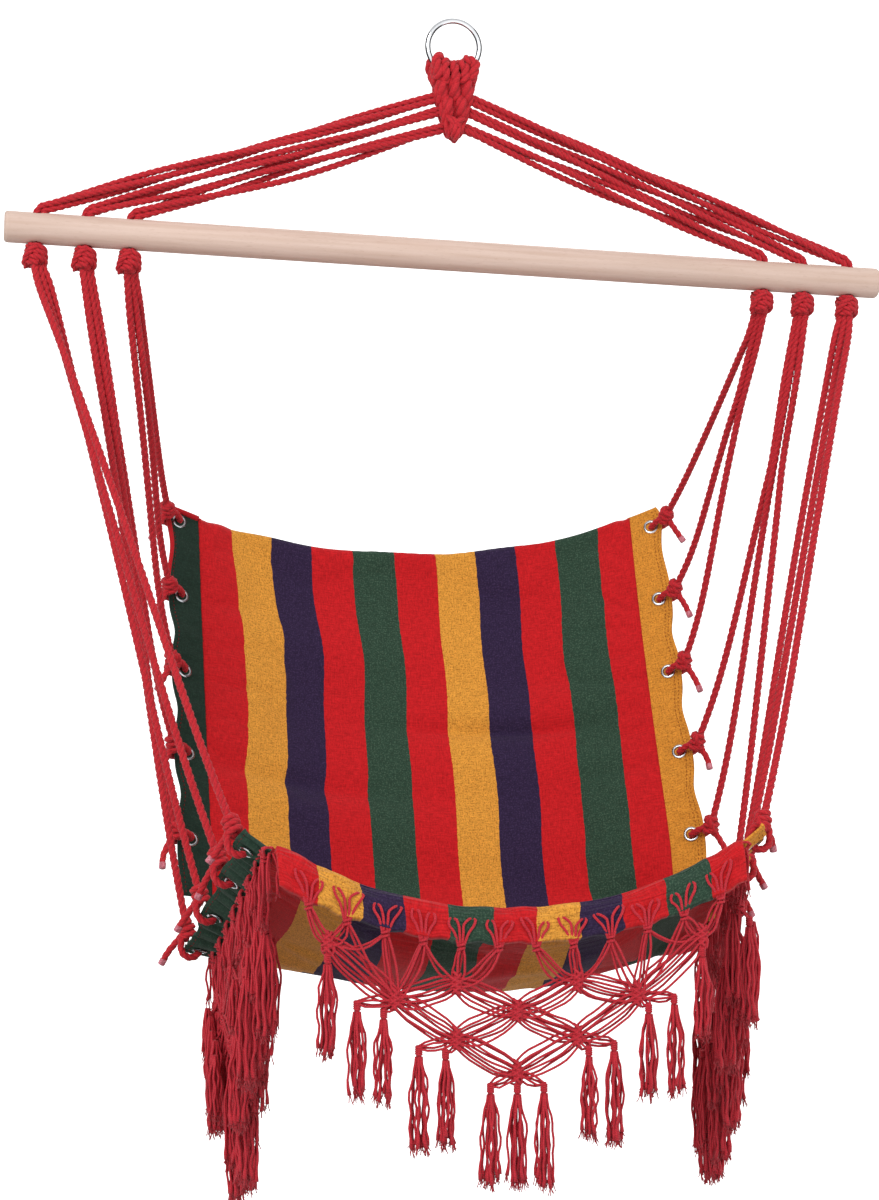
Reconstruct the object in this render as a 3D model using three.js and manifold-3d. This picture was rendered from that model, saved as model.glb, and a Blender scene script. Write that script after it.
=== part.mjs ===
// Hammock chair: a padded striped sling hung by eighteen ropes from a wooden spreader bar,
// which six rope bundles carry under one steel ring. Knotted fringes hang from three seat edges.
// Millimetres, +Z up, the sitter faces -Y. The origin is where a hook bears inside the ring.
import * as THREE from 'three';
import { mergeVertices } from 'three/addons/utils/BufferGeometryUtils.js';
import Module from 'manifold-3d';

const wasm = await Module();
wasm.setup();

// Clearances
const seatGap = 0.3;
const wireGap = 0.5;
const swingGap = 0.6;
const cutOverrun = 6;
const mergeTolerance = 0.003;

// Ring
const ringDiameter = 58.5;
const ringWire = 5.5;

// Rope, and how it is knotted
const ropeDiameter = 6;
const strandGap = 0.15;
const stopperDiameter = 24.5;
const tieDiameter = 12.5;
const tieLoopRadius = 9.5;
const tailLength = 26;
const fanAngle = 0.63;

// Head knot woven over the ring
const knotLength = 82;
const knotWidth = 50;
const knotDepth = 27;
const weaveRelief = 0.9;
const wrapSpread = 2.0;
const swingLimit = 0.45;

// Spreader bar, hanging a little out of level
const barLength = 900;
const barDiameter = 31;
const barDrop = 212;
const barEdge = 3;
const barTilt = 0.035;
const holeDiameter = 14;
const holeInsets = [32, 80, 124];
const bundleExits = [48, 62, 80];
const ropeBend = 16;

// Sling: the striped cloth from the top of the back to the front hem
const slingWidth = 484;
const hemWidth = 426;
const slingTop = 436;
const slingDrop = 502;
const slingBack = 246.1;
const slingFront = 325.9;
const panelThickness = 8;
const hemThickness = 6;
const sagPower = 2.2;
const panelGap = 0.5;
const backWave = 5;

// Side strips and their eyelets
const stripWidth = 37;
const stripThickness = 3;
const stripScallop = 4;
const stripPucker = 3;
const eyeletInset = 14;
const eyeletDiameter = 16;
const eyeletBore = 9.6;
const eyeletBarrel = 10.8;
const eyeletFlange = 1.1;
const eyeletGrip = 1.6;

// Fringes
const strandBandWidth = 9;
const strandBandDepth = 4;
const tasselDiameter = 10;
const tasselLength = 96;
const loopPitch = 34;
const frontKnotPitch = 110;
const frontRowDrops = [39, 62, 88, 116];
const frontSwagDrop = 30;
const sideKnotPitch = 74;
const sideRowDrops = [46, 78, 116, 152];
const sideSwagDrop = 46;
const sideTasselLength = 104;
const tasselHang = 12;
const tasselSpacing = 24;
const netKnotDiameter = 12;
const netSwingForward = 0.45;
const netSwingBack = 0.15;

// Mesh counts
const ringSides = 8;
const ringSteps = 24;
const ropeSides = 6;
const strandSides = 5;
const loopSides = 5;
const loopSteps = 8;
const ballColumns = 8;
const ballRows = 6;
const tieColumns = 5;
const tieRows = 3;
const bendSteps = 2;
const weaveColumns = 16;
const weaveRows = 12;
const wrapTurns = 7;
const barSides = 18;
const holeSides = 8;
const eyeletSides = 8;
const panelColumns = 12;
const backRowCount = 11;
const seatRowCount = 14;
const hemRowCount = 4;
const stripColumns = 1;
const stripRowsPerStation = 4;
const netKnotColumns = 4;
const netKnotRows = 3;
const tasselSides = 5;
const frontLoopCount = 12;
const rowKnotCounts = [2, 3, 2, 1];
const knotLoops = 2;
const frontRowTassels = [0, 2, 2, 3];
const sideLoopCount = 8;
const sideRowTassels = [0, 1, 1, 3];
const clearanceTurns = 7;
const hemClearanceTurns = 19;

const half = 0.5;
const upward = new THREE.Vector3(0, 0, 1);
const forward = new THREE.Vector3(0, -1, 0);

// Derived places
const ringRadius = (ringDiameter - ringWire) * half;
const ringCentreZ = ringWire * half - ringRadius;
const ropeRadius = ropeDiameter * half;
const barRadius = barDiameter * half;
const stopperRadius = stopperDiameter * half;
const stopperDrop = barRadius + seatGap + stopperRadius;

// A closed geometry as a solid, with its faces turned outwards
function solid(geometry) {
  const bare = geometry.clone();
  bare.deleteAttribute('normal');
  bare.deleteAttribute('uv');
  const merged = mergeVertices(bare, mergeTolerance);
  const place = merged.getAttribute('position').array;
  const corners = [];
  const a = new THREE.Vector3();
  const b = new THREE.Vector3();
  const c = new THREE.Vector3();
  let volume = 0;
  for (let i = 0; i < merged.index.count; i += 3) {
    const [p, q, r] = [0, 1, 2].map((k) => merged.index.getX(i + k));
    if (p === q || q === r || r === p) continue;
    corners.push(p, q, r);
    volume += a.fromArray(place, 3 * p).dot(b.fromArray(place, 3 * q).cross(c.fromArray(place, 3 * r)));
  }
  if (volume < 0) corners.reverse();
  return new wasm.Manifold(new wasm.Mesh({
    numProp: 3,
    vertProperties: Float32Array.from(place),
    triVerts: Uint32Array.from(corners),
  }));
}

function geometryOf(body) {
  const mesh = body.getMesh();
  const geometry = new THREE.BufferGeometry();
  geometry.setAttribute('position', new THREE.BufferAttribute(mesh.vertProperties, 3));
  geometry.setIndex(new THREE.BufferAttribute(mesh.triVerts, 1));
  return geometry;
}

const joined = (bodies) => bodies.reduce((whole, body) => whole.add(body));
const placed = (geometry, matrix) => geometry.clone().applyMatrix4(matrix);
const moveTo = (place) => new THREE.Matrix4().makeTranslation(place.x, place.y, place.z);
const lerp = THREE.MathUtils.lerp;

// A frame whose columns are the given directions, standing at a place
function frameAt(place, x, y, z) {
  return new THREE.Matrix4().makeBasis(x, y, z).setPosition(place);
}

// A body joined to its copies at even turns, from one angle to another, about a line along X
function turnedAboutX(body, pivot, low, high, turns) {
  const back = moveTo(pivot.clone().negate());
  const copies = Array.from({ length: turns }, (_, i) => {
    const turn = new THREE.Matrix4().makeRotationX(lerp(low, high, i / (turns - 1)));
    return body.transform(moveTo(pivot).multiply(turn).multiply(back).elements);
  });
  return joined(copies);
}

// A closed outline of the given half width and half height
function oval(halfWidth, halfHeight, sides) {
  const outline = new THREE.Shape();
  outline.absellipse(0, 0, halfWidth, halfHeight, 0, 2 * Math.PI);
  return new THREE.Shape(outline.getSpacedPoints(sides).slice(0, sides));
}

// A smooth route whose rings fall evenly between its control points, so that bends get more of them
class RopeRoute extends THREE.CatmullRomCurve3 {
  getUtoTmapping(share) {
    return share;
  }
}

function sweep(route, outline, steps) {
  return new THREE.ExtrudeGeometry(outline, { steps, extrudePath: route, bevelEnabled: false });
}

// A rope knot: a ball whose surface swells over the turns of rope
function knotBall(radius, columns, rows) {
  const ball = new THREE.SphereGeometry(radius, columns, rows);
  const place = ball.getAttribute('position');
  const point = new THREE.Vector3();
  const dipShare = 0.1;
  const turns = 3;
  for (let i = 0; i < place.count; i += 1) {
    point.fromBufferAttribute(place, i);
    const around = Math.atan2(point.z, point.x);
    const slant = point.y / radius;
    const dip = dipShare * (1 - slant * slant) * (1 + Math.cos(turns * (around + slant))) * half;
    point.multiplyScalar(1 - dip);
    place.setXYZ(i, point.x, point.y, point.z);
  }
  return ball;
}

// Hanging ring
function ringGeometry() {
  const ring = new THREE.TorusGeometry(ringRadius, ringWire * half, ringSides, ringSteps);
  ring.rotateX(Math.PI * half);
  return ring;
}

// Head knot: rope turns over the wire and a woven body that tapers to a point.
// Each row gives the drop from the ring's centre and the half width, as shares.
const knotOutlineShares = [
  [0, 0.98], [0.1, 1.02], [0.2, 0.96], [0.34, 0.86], [0.45, 0.78], [0.58, 0.69],
  [0.7, 0.58], [0.8, 0.5], [0.88, 0.42], [0.94, 0.3], [0.98, 0.16],
];
const knotTop = 14;

function wovenBody(grow, relief) {
  const edge = knotOutlineShares.map(([down, wide]) => (
    new THREE.Vector2(wide * knotWidth * half + grow, -down * knotLength)
  ));
  const outline = new THREE.SplineCurve(edge).getPoints(weaveRows);
  outline.unshift(new THREE.Vector2(0, 0));
  outline.push(new THREE.Vector2(0, -knotLength - grow));
  const body = new THREE.LatheGeometry(outline, weaveColumns);
  const place = body.getAttribute('position');
  const bumps = 5;
  const rows = 5;
  for (let i = 0; i < place.count; i += 1) {
    const [x, down, z] = [place.getX(i), place.getY(i), place.getZ(i)];
    const around = Math.atan2(z, x);
    const level = Math.floor((-down / knotLength) * rows);
    const swell = 1 + (relief * Math.cos(2 * bumps * around + level * Math.PI)) / (knotWidth * half);
    place.setXYZ(i, x * swell, down, z * swell * (knotDepth + grow) / (knotWidth + grow));
  }
  body.rotateX(Math.PI * half);
  body.translate(0, 0, ringCentreZ - knotTop);
  return solid(body);
}

function headKnotGeometry() {
  const wireRadius = ringWire * half;
  const centre = new THREE.Vector3(0, 0, ringCentreZ);
  const eye = new THREE.CylinderGeometry(
    ringRadius - wireRadius - ropeDiameter, ringRadius - wireRadius - ropeDiameter,
    knotDepth + cutOverrun, ringSteps,
  );
  let knot = wovenBody(0, weaveRelief).subtract(solid(placed(eye, moveTo(centre))));
  const turn = new THREE.TorusGeometry(wireRadius + wireGap + ropeRadius, ropeRadius, loopSides, loopSteps);
  for (let i = 0; i < wrapTurns; i += 1) {
    const angle = wrapSpread * (i / (wrapTurns - 1) - half);
    const outward = new THREE.Vector3(Math.sin(angle), 0, -Math.cos(angle));
    const along = new THREE.Vector3(Math.cos(angle), 0, Math.sin(angle));
    const place = centre.clone().addScaledVector(outward, ringRadius);
    const across = new THREE.Vector3().crossVectors(along, outward);
    knot = knot.add(solid(placed(turn, frameAt(place, outward, across, along))));
  }
  const tunnel = new THREE.TorusGeometry(ringRadius, wireRadius + wireGap, ringSides, ringSteps);
  tunnel.rotateX(Math.PI * half);
  return geometryOf(knot.subtract(solid(placed(tunnel, moveTo(centre)))));
}

// Spreader bar, in places measured along it and up from its axis
const barCentre = new THREE.Vector3(0, 0, ringCentreZ - barDrop);
const alongBar = new THREE.Vector3(Math.cos(barTilt), 0, -Math.sin(barTilt));
const upFromBar = new THREE.Vector3(Math.sin(barTilt), 0, Math.cos(barTilt));
const onBar = (along, up) => (
  barCentre.clone().addScaledVector(alongBar, along).addScaledVector(upFromBar, up)
);

function barGeometry() {
  const end = barLength * half;
  const easeShare = 0.3;
  const ease = barEdge * easeShare;
  const profile = [
    [0, -end], [barRadius - barEdge, -end], [barRadius - ease, ease - end], [barRadius, barEdge - end],
    [barRadius, end - barEdge], [barRadius - ease, end - ease], [barRadius - barEdge, end], [0, end],
  ].map(([r, z]) => new THREE.Vector2(r, z));
  const dowel = new THREE.LatheGeometry(profile, barSides);
  const lie = frameAt(barCentre, upFromBar, alongBar, forward.clone().negate());
  let bar = solid(placed(dowel, lie));
  const drill = new THREE.CylinderGeometry(
    holeDiameter * half, holeDiameter * half, barDiameter + cutOverrun, holeSides,
  );
  for (const side of [-1, 1]) {
    for (const inset of holeInsets) {
      const place = onBar(side * (end - inset), 0);
      bar = bar.subtract(solid(placed(drill, frameAt(place, alongBar, upFromBar, forward.clone().negate()))));
    }
  }
  return geometryOf(bar);
}

// The head knot's space through the whole swing of the bar, which the bundles stay clear of
const bundlePivot = new THREE.Vector3(0, 0, ringCentreZ - bundleExits[1]);
const knotClearance = () => (
  turnedAboutX(wovenBody(weaveRelief + seatGap, 0), bundlePivot, -swingLimit, swingLimit, clearanceTurns)
);

// One bundle: three ropes from the head knot, down through a hole of the bar, into a stopper knot
function bundleGeometry(side, index, clearance) {
  const along = side * (barLength * half - holeInsets[index]);
  const knot = onBar(along, -stopperDrop);
  const exit = new THREE.Vector3(0, 0, ringCentreZ - bundleExits[index]);
  const mouth = onBar(along, barRadius + ropeBend * half);
  const run = mouth.clone().sub(exit).normalize();
  const spacing = (ropeDiameter + strandGap) / Math.sqrt(3);
  const turnIn = mouth.clone().addScaledVector(run, -ropeBend).addScaledVector(upFromBar, ropeRadius * half);
  const stations = [
    [exit, run], [turnIn, run],
    [mouth, run.clone().sub(upFromBar).normalize()],
    [onBar(along, barRadius - ropeRadius), upFromBar.clone().negate()],
    [knot, upFromBar.clone().negate()],
  ];
  const across = forward.clone().negate();
  const strands = [0, 1, 2].map((k) => {
    const turn = (2 * Math.PI * k) / 3 + Math.PI * half;
    const points = stations.map(([place, direction]) => {
      const inPlane = new THREE.Vector3().crossVectors(direction, across);
      return place.clone()
        .addScaledVector(across, spacing * Math.cos(turn))
        .addScaledVector(inPlane, spacing * Math.sin(turn));
    });
    const route = new RopeRoute(points, false, 'centripetal');
    return solid(sweep(route, oval(ropeRadius, ropeRadius, strandSides), bendSteps * (points.length - 1)));
  });
  const ball = solid(placed(knotBall(stopperRadius, ballColumns, ballRows), moveTo(knot)));
  return geometryOf(joined([...strands, ball]).subtract(clearance));
}

// The sling's seam line and middle line, station by station from the top of the back to the hem.
// Each station is a share of the way back and a share of the drop.
const seamShares = [
  [0.985, 0.031], [0.905, 0.244], [0.835, 0.404], [0.755, 0.575], [0.67, 0.746], [0.6, 0.938],
  [0.485, 0.948], [0.36, 0.886], [0.23, 0.813], [0.105, 0.746], [0.03, 0.711], [0, 0.772],
];
const middleShares = [
  [1.02, 0.119], [0.965, 0.306], [0.905, 0.466], [0.825, 0.632], [0.735, 0.803], [0.64, 0.943],
  [0.51, 0.995], [0.36, 1], [0.2, 0.959], [0.085, 0.876], [0.024, 0.829], [0, 0.879],
];
const lastStation = seamShares.length - 1;
const creaseStation = 5;
const foldStation = 10;
const backEyeletStations = [0.25, 1, 2, 3, 4];
const seatEyeletStations = [6, 7, 8, 9];
const backStripEnd = 4.5;
const seatStripStart = 5.5;
const seatStripEnd = 9.5;

function slingLine(shares) {
  const points = shares.map(([back, down]) => new THREE.Vector3(
    0,
    lerp(-slingFront, slingBack, back),
    ringCentreZ - slingTop - slingDrop * down,
  ));
  return new THREE.CatmullRomCurve3(points, false, 'centripetal');
}
const seamLine = slingLine(seamShares);
const middleLine = slingLine(middleShares);

// The cloth at a share of its half width and a station: past the seam it runs on in the same slope
function cloth(across, station) {
  const share = THREE.MathUtils.clamp(station / lastStation, 0, 1);
  const seam = seamLine.getPoint(share);
  const middle = middleLine.getPoint(share);
  const out = Math.abs(across);
  const lift = out <= 1 ? out ** sagPower : 1 + sagPower * (out - 1);
  const narrowing = THREE.MathUtils.smoothstep(station, creaseStation, foldStation);
  const halfWidth = lerp(slingWidth, hemWidth, narrowing) * half;
  const point = middle.lerp(seam, lift);
  point.x = across * halfWidth;
  return point;
}

// The cloth's outward side is the one that the sitter touches
function clothNormal(across, station) {
  const small = 0.01;
  const first = Math.min(station, lastStation - small);
  const alongCloth = cloth(across, first + small).sub(cloth(across, Math.max(first - small, 0)));
  const overCloth = cloth(across + small, first).sub(cloth(across - small, first));
  return new THREE.Vector3().crossVectors(alongCloth, overCloth).normalize();
}

// A closed sheet between two offsets of a surface, given on a grid of columns and rows
function sheet(surface, columns, rows, thickness) {
  const width = columns + 1;
  const points = [];
  for (const face of [-half, half]) {
    for (let row = 0; row <= rows; row += 1) {
      for (let column = 0; column <= columns; column += 1) {
        const { point, normal } = surface(column / columns, row / rows);
        points.push(point.clone().addScaledVector(normal, face * thickness));
      }
    }
  }
  const layer = width * (rows + 1);
  const corners = [];
  const quad = (a, b, c, d) => corners.push(a, b, c, a, c, d);
  for (let row = 0; row < rows; row += 1) {
    for (let column = 0; column < columns; column += 1) {
      const a = row * width + column;
      quad(a, a + 1, a + 1 + width, a + width);
      quad(layer + a, layer + a + width, layer + a + 1 + width, layer + a + 1);
    }
  }
  const rim = [];
  for (let column = 0; column < columns; column += 1) rim.push(column);
  for (let row = 0; row < rows; row += 1) rim.push(row * width + columns);
  for (let column = columns; column > 0; column -= 1) rim.push(rows * width + column);
  for (let row = rows; row > 0; row -= 1) rim.push(row * width);
  rim.forEach((a, i) => {
    const b = rim[(i + 1) % rim.length];
    quad(b, a, layer + a, layer + b);
  });
  const geometry = new THREE.BufferGeometry();
  const flat = new Float32Array(points.flatMap((point) => point.toArray()));
  geometry.setAttribute('position', new THREE.BufferAttribute(flat, 3));
  geometry.setIndex(corners);
  return geometry;
}

// Part of the sling from one station to another, all across between its seams
function slingPiece(from, to, rows, thickness, wave) {
  const edge = 1 - panelGap / slingWidth;
  return solid(sheet((a, b) => {
    const across = lerp(-edge, edge, a);
    const station = lerp(from, to, b);
    const normal = clothNormal(across, station);
    const swell = Math.sin(b * 2 * Math.PI) * wave * (1 - across * across);
    return { point: cloth(across, station).addScaledVector(normal, swell), normal };
  }, panelColumns, rows, thickness));
}

const stationGap = panelGap / slingDrop * lastStation;

// How far across the cloth lies a place that is the given distance past its seam
function pastSeam(station, distance) {
  return 1 + distance / cloth(1, station).distanceTo(cloth(2, station));
}

// A side strip: scalloped between its eyelets, and puckered there by the pull of the ropes
function stripSurface(side, from, to, eyeletStations) {
  const first = eyeletStations.at(-1);
  const pitch = eyeletStations.at(-1) - eyeletStations.at(-2);
  return (a, b) => {
    const station = lerp(from, to, b);
    const between = ((1 - Math.cos((2 * Math.PI * (station - first)) / pitch)) * half) ** 2;
    const reach = stripWidth - stripScallop * between;
    const across = side * pastSeam(station, lerp(panelGap, reach, a));
    const normal = clothNormal(across, station);
    const point = cloth(across, station).addScaledVector(normal, stripPucker * between * a);
    return { point, normal };
  };
}

function eyeletFrame(side, station) {
  const across = side * pastSeam(station, stripWidth - eyeletInset);
  const normal = clothNormal(across, station);
  const edge = cloth(side * pastSeam(station, stripWidth), station);
  const centre = cloth(across, station);
  const outward = edge.sub(centre);
  outward.addScaledVector(normal, -outward.dot(normal)).normalize();
  return { centre, normal, outward, along: new THREE.Vector3().crossVectors(normal, outward) };
}

function stripGeometry(side, from, to, stations) {
  const rows = Math.round((to - from) * stripRowsPerStation);
  let strip = solid(sheet(stripSurface(side, from, to, stations), stripColumns, rows, stripThickness));
  const punch = new THREE.CylinderGeometry(
    eyeletBarrel * half + seatGap, eyeletBarrel * half + seatGap, stripWidth, eyeletSides,
  );
  for (const station of stations) {
    const { centre, normal, outward, along } = eyeletFrame(side, station);
    strip = strip.subtract(solid(placed(punch, frameAt(centre, outward, normal, along.negate()))));
  }
  return geometryOf(strip);
}

// An eyelet: a barrel with a rolled flange on each face of the strip
function eyeletGeometry(side, station) {
  const bore = eyeletBore * half;
  const barrel = eyeletBarrel * half;
  const rim = eyeletDiameter * half;
  const grip = stripThickness * half + eyeletGrip;
  const face = grip + eyeletFlange;
  const profile = [
    [bore, -face], [rim, -grip], [barrel, -grip],
    [barrel, grip], [rim, grip], [bore, face], [bore, -face],
  ].map(([r, z]) => new THREE.Vector2(r, z));
  const { centre, normal, outward, along } = eyeletFrame(side, station);
  const eyelet = new THREE.LatheGeometry(profile, eyeletSides);
  return placed(eyelet, frameAt(centre, outward, normal, along.negate()));
}

// A hanging rope: from under its stopper knot straight to its eyelet, through it, round the
// strip's edge and tied back on itself, with a short tail
function hangingRopeGeometry(side, station, knotIndex, order) {
  const knot = onBar(side * (barLength * half - holeInsets[knotIndex]), -stopperDrop);
  const { centre, normal, outward, along } = eyeletFrame(side, station);
  const loopCentre = centre.clone().addScaledVector(outward, tieLoopRadius);
  const toKnot = knot.clone().sub(loopCentre).normalize();
  const pull = outward.clone().multiplyScalar(toKnot.dot(outward))
    .addScaledVector(normal, toKnot.dot(normal)).normalize();
  const tie = loopCentre.clone().addScaledVector(pull, tieLoopRadius + ropeRadius * half);
  const fan = fanAngle * order;
  const under = new THREE.Vector3(0, Math.sin(fan), -Math.cos(fan));
  const toTie = tie.clone().sub(knot).normalize();
  const lean = Math.sqrt(1 - Math.min(1, toTie.dot(under)) ** 2);
  const start = knot.clone().addScaledVector(under, stopperRadius + seatGap + ropeRadius * lean);
  const outline = oval(ropeRadius, ropeRadius, ropeSides);
  const main = solid(sweep(new THREE.LineCurve3(start, tie), outline, 1));
  const ring = new THREE.TorusGeometry(tieLoopRadius, ropeRadius, loopSides, loopSteps);
  const loop = solid(placed(ring, frameAt(loopCentre, outward, normal, along.clone().negate())));
  const ball = solid(placed(knotBall(tieDiameter * half, tieColumns, tieRows), moveTo(tie)));
  const tailRun = new THREE.Vector3(side, 0, 0).addScaledVector(upward, -1)
    .addScaledVector(normal, half).normalize();
  const tailEnd = tie.clone().addScaledVector(tailRun, tailLength);
  const tail = solid(sweep(new THREE.LineCurve3(tie, tailEnd), outline, 1));
  return geometryOf(joined([main, loop, ball, tail]));
}

// A knotted fringe in its own plane: x along the edge, z up, y through the net.
// Bands drop from loops on the edge, meet at knots row by row, and end in tassels.
function fringeSolid({ edge, loopCount, rowDrops, knotPitch, rowTassels, swagDrop, length }) {
  const bodies = [];
  const at = (x, drop) => new THREE.Vector3(x, 0, edge(x) - drop);
  const loopDropShare = 0.3;
  const knot = (place, diameter) => {
    const ball = knotBall(diameter * half, netKnotColumns, netKnotRows);
    ball.scale(1, strandBandDepth * 2 / diameter, 1);
    bodies.push(solid(placed(ball, moveTo(place))));
  };
  const through = new THREE.Vector3(0, 1, 0);
  const band = (from, to) => {
    const run = to.clone().sub(from);
    const strip = new THREE.BoxGeometry(run.length(), strandBandDepth, strandBandWidth);
    run.normalize();
    const across = new THREE.Vector3().crossVectors(run, through);
    bodies.push(solid(placed(strip, frameAt(from.clone().lerp(to, half), run, through, across))));
  };
  const tassel = (top) => {
    const radius = tasselDiameter * half;
    const headShares = [[0.06, 0.65], [1, 1.15]];
    const crownShare = 0.05;
    const profile = headShares.map(([down, wide]) => new THREE.Vector2(radius * wide, -down * length));
    const brush = new THREE.LatheGeometry(
      [new THREE.Vector2(0, crownShare * length), ...profile, new THREE.Vector2(0, -length)], tasselSides,
    );
    brush.rotateX(Math.PI * half);
    bodies.push(solid(placed(brush, moveTo(top))));
  };
  const loops = Array.from({ length: loopCount }, (_, i) => (
    at((i - (loopCount - 1) * half) * loopPitch, strandBandWidth * loopDropShare)
  ));
  const rows = rowDrops.map((drop, row) => Array.from({ length: rowKnotCounts[row] }, (_, k) => (
    at((k - (rowKnotCounts[row] - 1) * half) * knotPitch, drop)
  )));
  const bandsFromLoops = (place, count) => [...loops]
    .sort((a, b) => Math.abs(a.x - place.x) - Math.abs(b.x - place.x))
    .slice(0, count)
    .forEach((loop) => band(loop, place));
  rows.flat().forEach((place) => knot(place, netKnotDiameter));
  rows[0].forEach((place) => bandsFromLoops(place, knotLoops));
  rows.slice(1).forEach((places, above) => places.forEach((place) => {
    rows[above].filter(({ x }) => Math.abs(x - place.x) < knotPitch).forEach((upper) => band(upper, place));
  }));
  for (const side of [-1, 1]) {
    const swag = at(side * ((loopCount - 1) * half - half) * loopPitch, swagDrop);
    const outers = rows.map((places) => (side < 0 ? places[0] : places.at(-1)));
    knot(swag, netKnotDiameter);
    bandsFromLoops(swag, knotLoops);
    bandsFromLoops(outers[1], knotLoops);
    band(swag, outers[1]);
    tassel(swag);
    outers.slice(0, -1).forEach((outer, row) => {
      for (let i = 0; i < rowTassels[row]; i += 1) {
        const top = at(outer.x + side * (tasselDiameter + i * tasselSpacing), rowDrops[row] + tasselHang);
        band(outer, top);
        tassel(top);
      }
    });
  }
  const [lowest] = rows.at(-1);
  const lastTassels = rowTassels.at(-1);
  for (let i = 0; i < lastTassels; i += 1) {
    const x = (i - (lastTassels - 1) * half) * tasselSpacing;
    const top = at(x, rowDrops.at(-1) + tasselHang);
    band(lowest, top);
    tassel(top);
  }
  return joined(bodies);
}

// Front fringe, under the hem
function hemPiece(thickness) {
  return slingPiece(foldStation + stationGap, lastStation, hemRowCount, thickness, 0);
}

function frontFringeGeometry() {
  const net = fringeSolid({
    edge: (x) => cloth((2 * x) / hemWidth, lastStation).z,
    loopCount: frontLoopCount,
    rowDrops: frontRowDrops,
    knotPitch: frontKnotPitch,
    rowTassels: frontRowTassels,
    swagDrop: frontSwagDrop,
    length: tasselLength,
  }).translate([0, cloth(0, lastStation).y, 0]);
  const bandRoom = hemPiece(hemThickness + strandBandDepth).translate([0, 0, -swingGap]);
  const swingRoom = turnedAboutX(
    hemPiece(hemThickness + strandBandDepth), cloth(0, lastStation),
    -netSwingBack, netSwingForward, hemClearanceTurns,
  );
  return geometryOf(net.subtract(bandRoom).subtract(swingRoom));
}

// Side fringes, under the outer edges of the seat strips
function seatStripSolid(side, thickness) {
  const surface = stripSurface(side, seatStripStart, seatStripEnd, seatEyeletStations);
  const rows = Math.round((seatStripEnd - seatStripStart) * stripRowsPerStation);
  return solid(sheet(surface, stripColumns, rows, thickness));
}

function stripEdge(side, station) {
  const share = (station - seatStripStart) / (seatStripEnd - seatStripStart);
  const edgeShare = 0.25;
  return stripSurface(side, seatStripStart, seatStripEnd, seatEyeletStations)(edgeShare, share).point;
}

// The station whose strip edge lies at a place along Y, found by halving the span of stations
function stripEdgeAt(side, y) {
  let [low, high] = [seatStripStart, lastStation];
  const halvings = 16;
  for (let i = 0; i < halvings; i += 1) {
    const middle = (low + high) * half;
    if (stripEdge(side, middle).y > y) low = middle;
    else high = middle;
  }
  return stripEdge(side, low);
}

function sideFringeGeometry(side) {
  const rear = stripEdge(side, seatEyeletStations[0]);
  const front = stripEdge(side, seatStripEnd);
  const middle = rear.clone().lerp(front, half);
  const net = fringeSolid({
    edge: (x) => stripEdgeAt(side, middle.y + x).z - stripThickness,
    loopCount: sideLoopCount,
    rowDrops: sideRowDrops,
    knotPitch: sideKnotPitch,
    rowTassels: sideRowTassels,
    swagDrop: sideSwagDrop,
    length: sideTasselLength,
  });
  const along = rear.clone().sub(front).setZ(0).normalize();
  const across = new THREE.Vector3().crossVectors(upward, along);
  const stand = frameAt(middle.clone().setZ(0), along, across, upward);
  const keepClear = seatStripSolid(side, stripThickness + 2 * seatGap).translate([0, 0, -seatGap]);
  return geometryOf(net.transform(stand.elements).subtract(keepClear));
}

const group = new THREE.Group();
function addPiece(name, geometry, finish) {
  const material = new THREE.MeshStandardMaterial(finish);
  const mesh = new THREE.Mesh(geometry, material);
  mesh.name = name;
  group.add(mesh);
  return mesh;
}

const steel = { color: 0xc4c6c8, roughness: 0.16, metalness: 1 };
const crimson = { color: 0xb02035, roughness: 0.75, metalness: 0 };
const beech = { color: 0xdec4af, roughness: 0.6, metalness: 0 };
const red = { color: 0xc01f24, roughness: 0.9, metalness: 0 };
const mustard = { color: 0xcd8732, roughness: 0.9, metalness: 0 };
const green = { color: 0x2d4b3c, roughness: 0.9, metalness: 0 };

const ring = addPiece('hanging_ring', ringGeometry(), steel);
ring.position.z = ringCentreZ;
addPiece('head_knot', headKnotGeometry(), crimson);
addPiece('spreader_bar', barGeometry(), beech);

const sides = [['left', -1], ['right', 1]];
const knotNames = ['outer', 'middle', 'inner'];
const clearance = knotClearance();
for (const [label, side] of sides) {
  knotNames.forEach((name, index) => {
    addPiece(`bridle_ropes_${label}_${name}`, bundleGeometry(side, index, clearance), crimson);
  });
}

const backEnd = creaseStation - stationGap;
const seatEnd = foldStation - stationGap;
const backPanel = slingPiece(0, backEnd, backRowCount, panelThickness, backWave);
const seatPanel = slingPiece(creaseStation, seatEnd, seatRowCount, panelThickness, 0);
addPiece('back_panel', geometryOf(backPanel), red);
addPiece('seat_panel', geometryOf(seatPanel), red);
addPiece('front_hem', geometryOf(hemPiece(hemThickness)), red);

for (const [label, side] of sides) {
  const trim = side < 0 ? green : mustard;
  const backStrip = stripGeometry(side, 0, backStripEnd, backEyeletStations);
  const seatStrip = stripGeometry(side, seatStripStart, seatStripEnd, seatEyeletStations);
  addPiece(`back_strip_${label}`, backStrip, trim);
  addPiece(`seat_strip_${label}`, seatStrip, trim);
}

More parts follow.
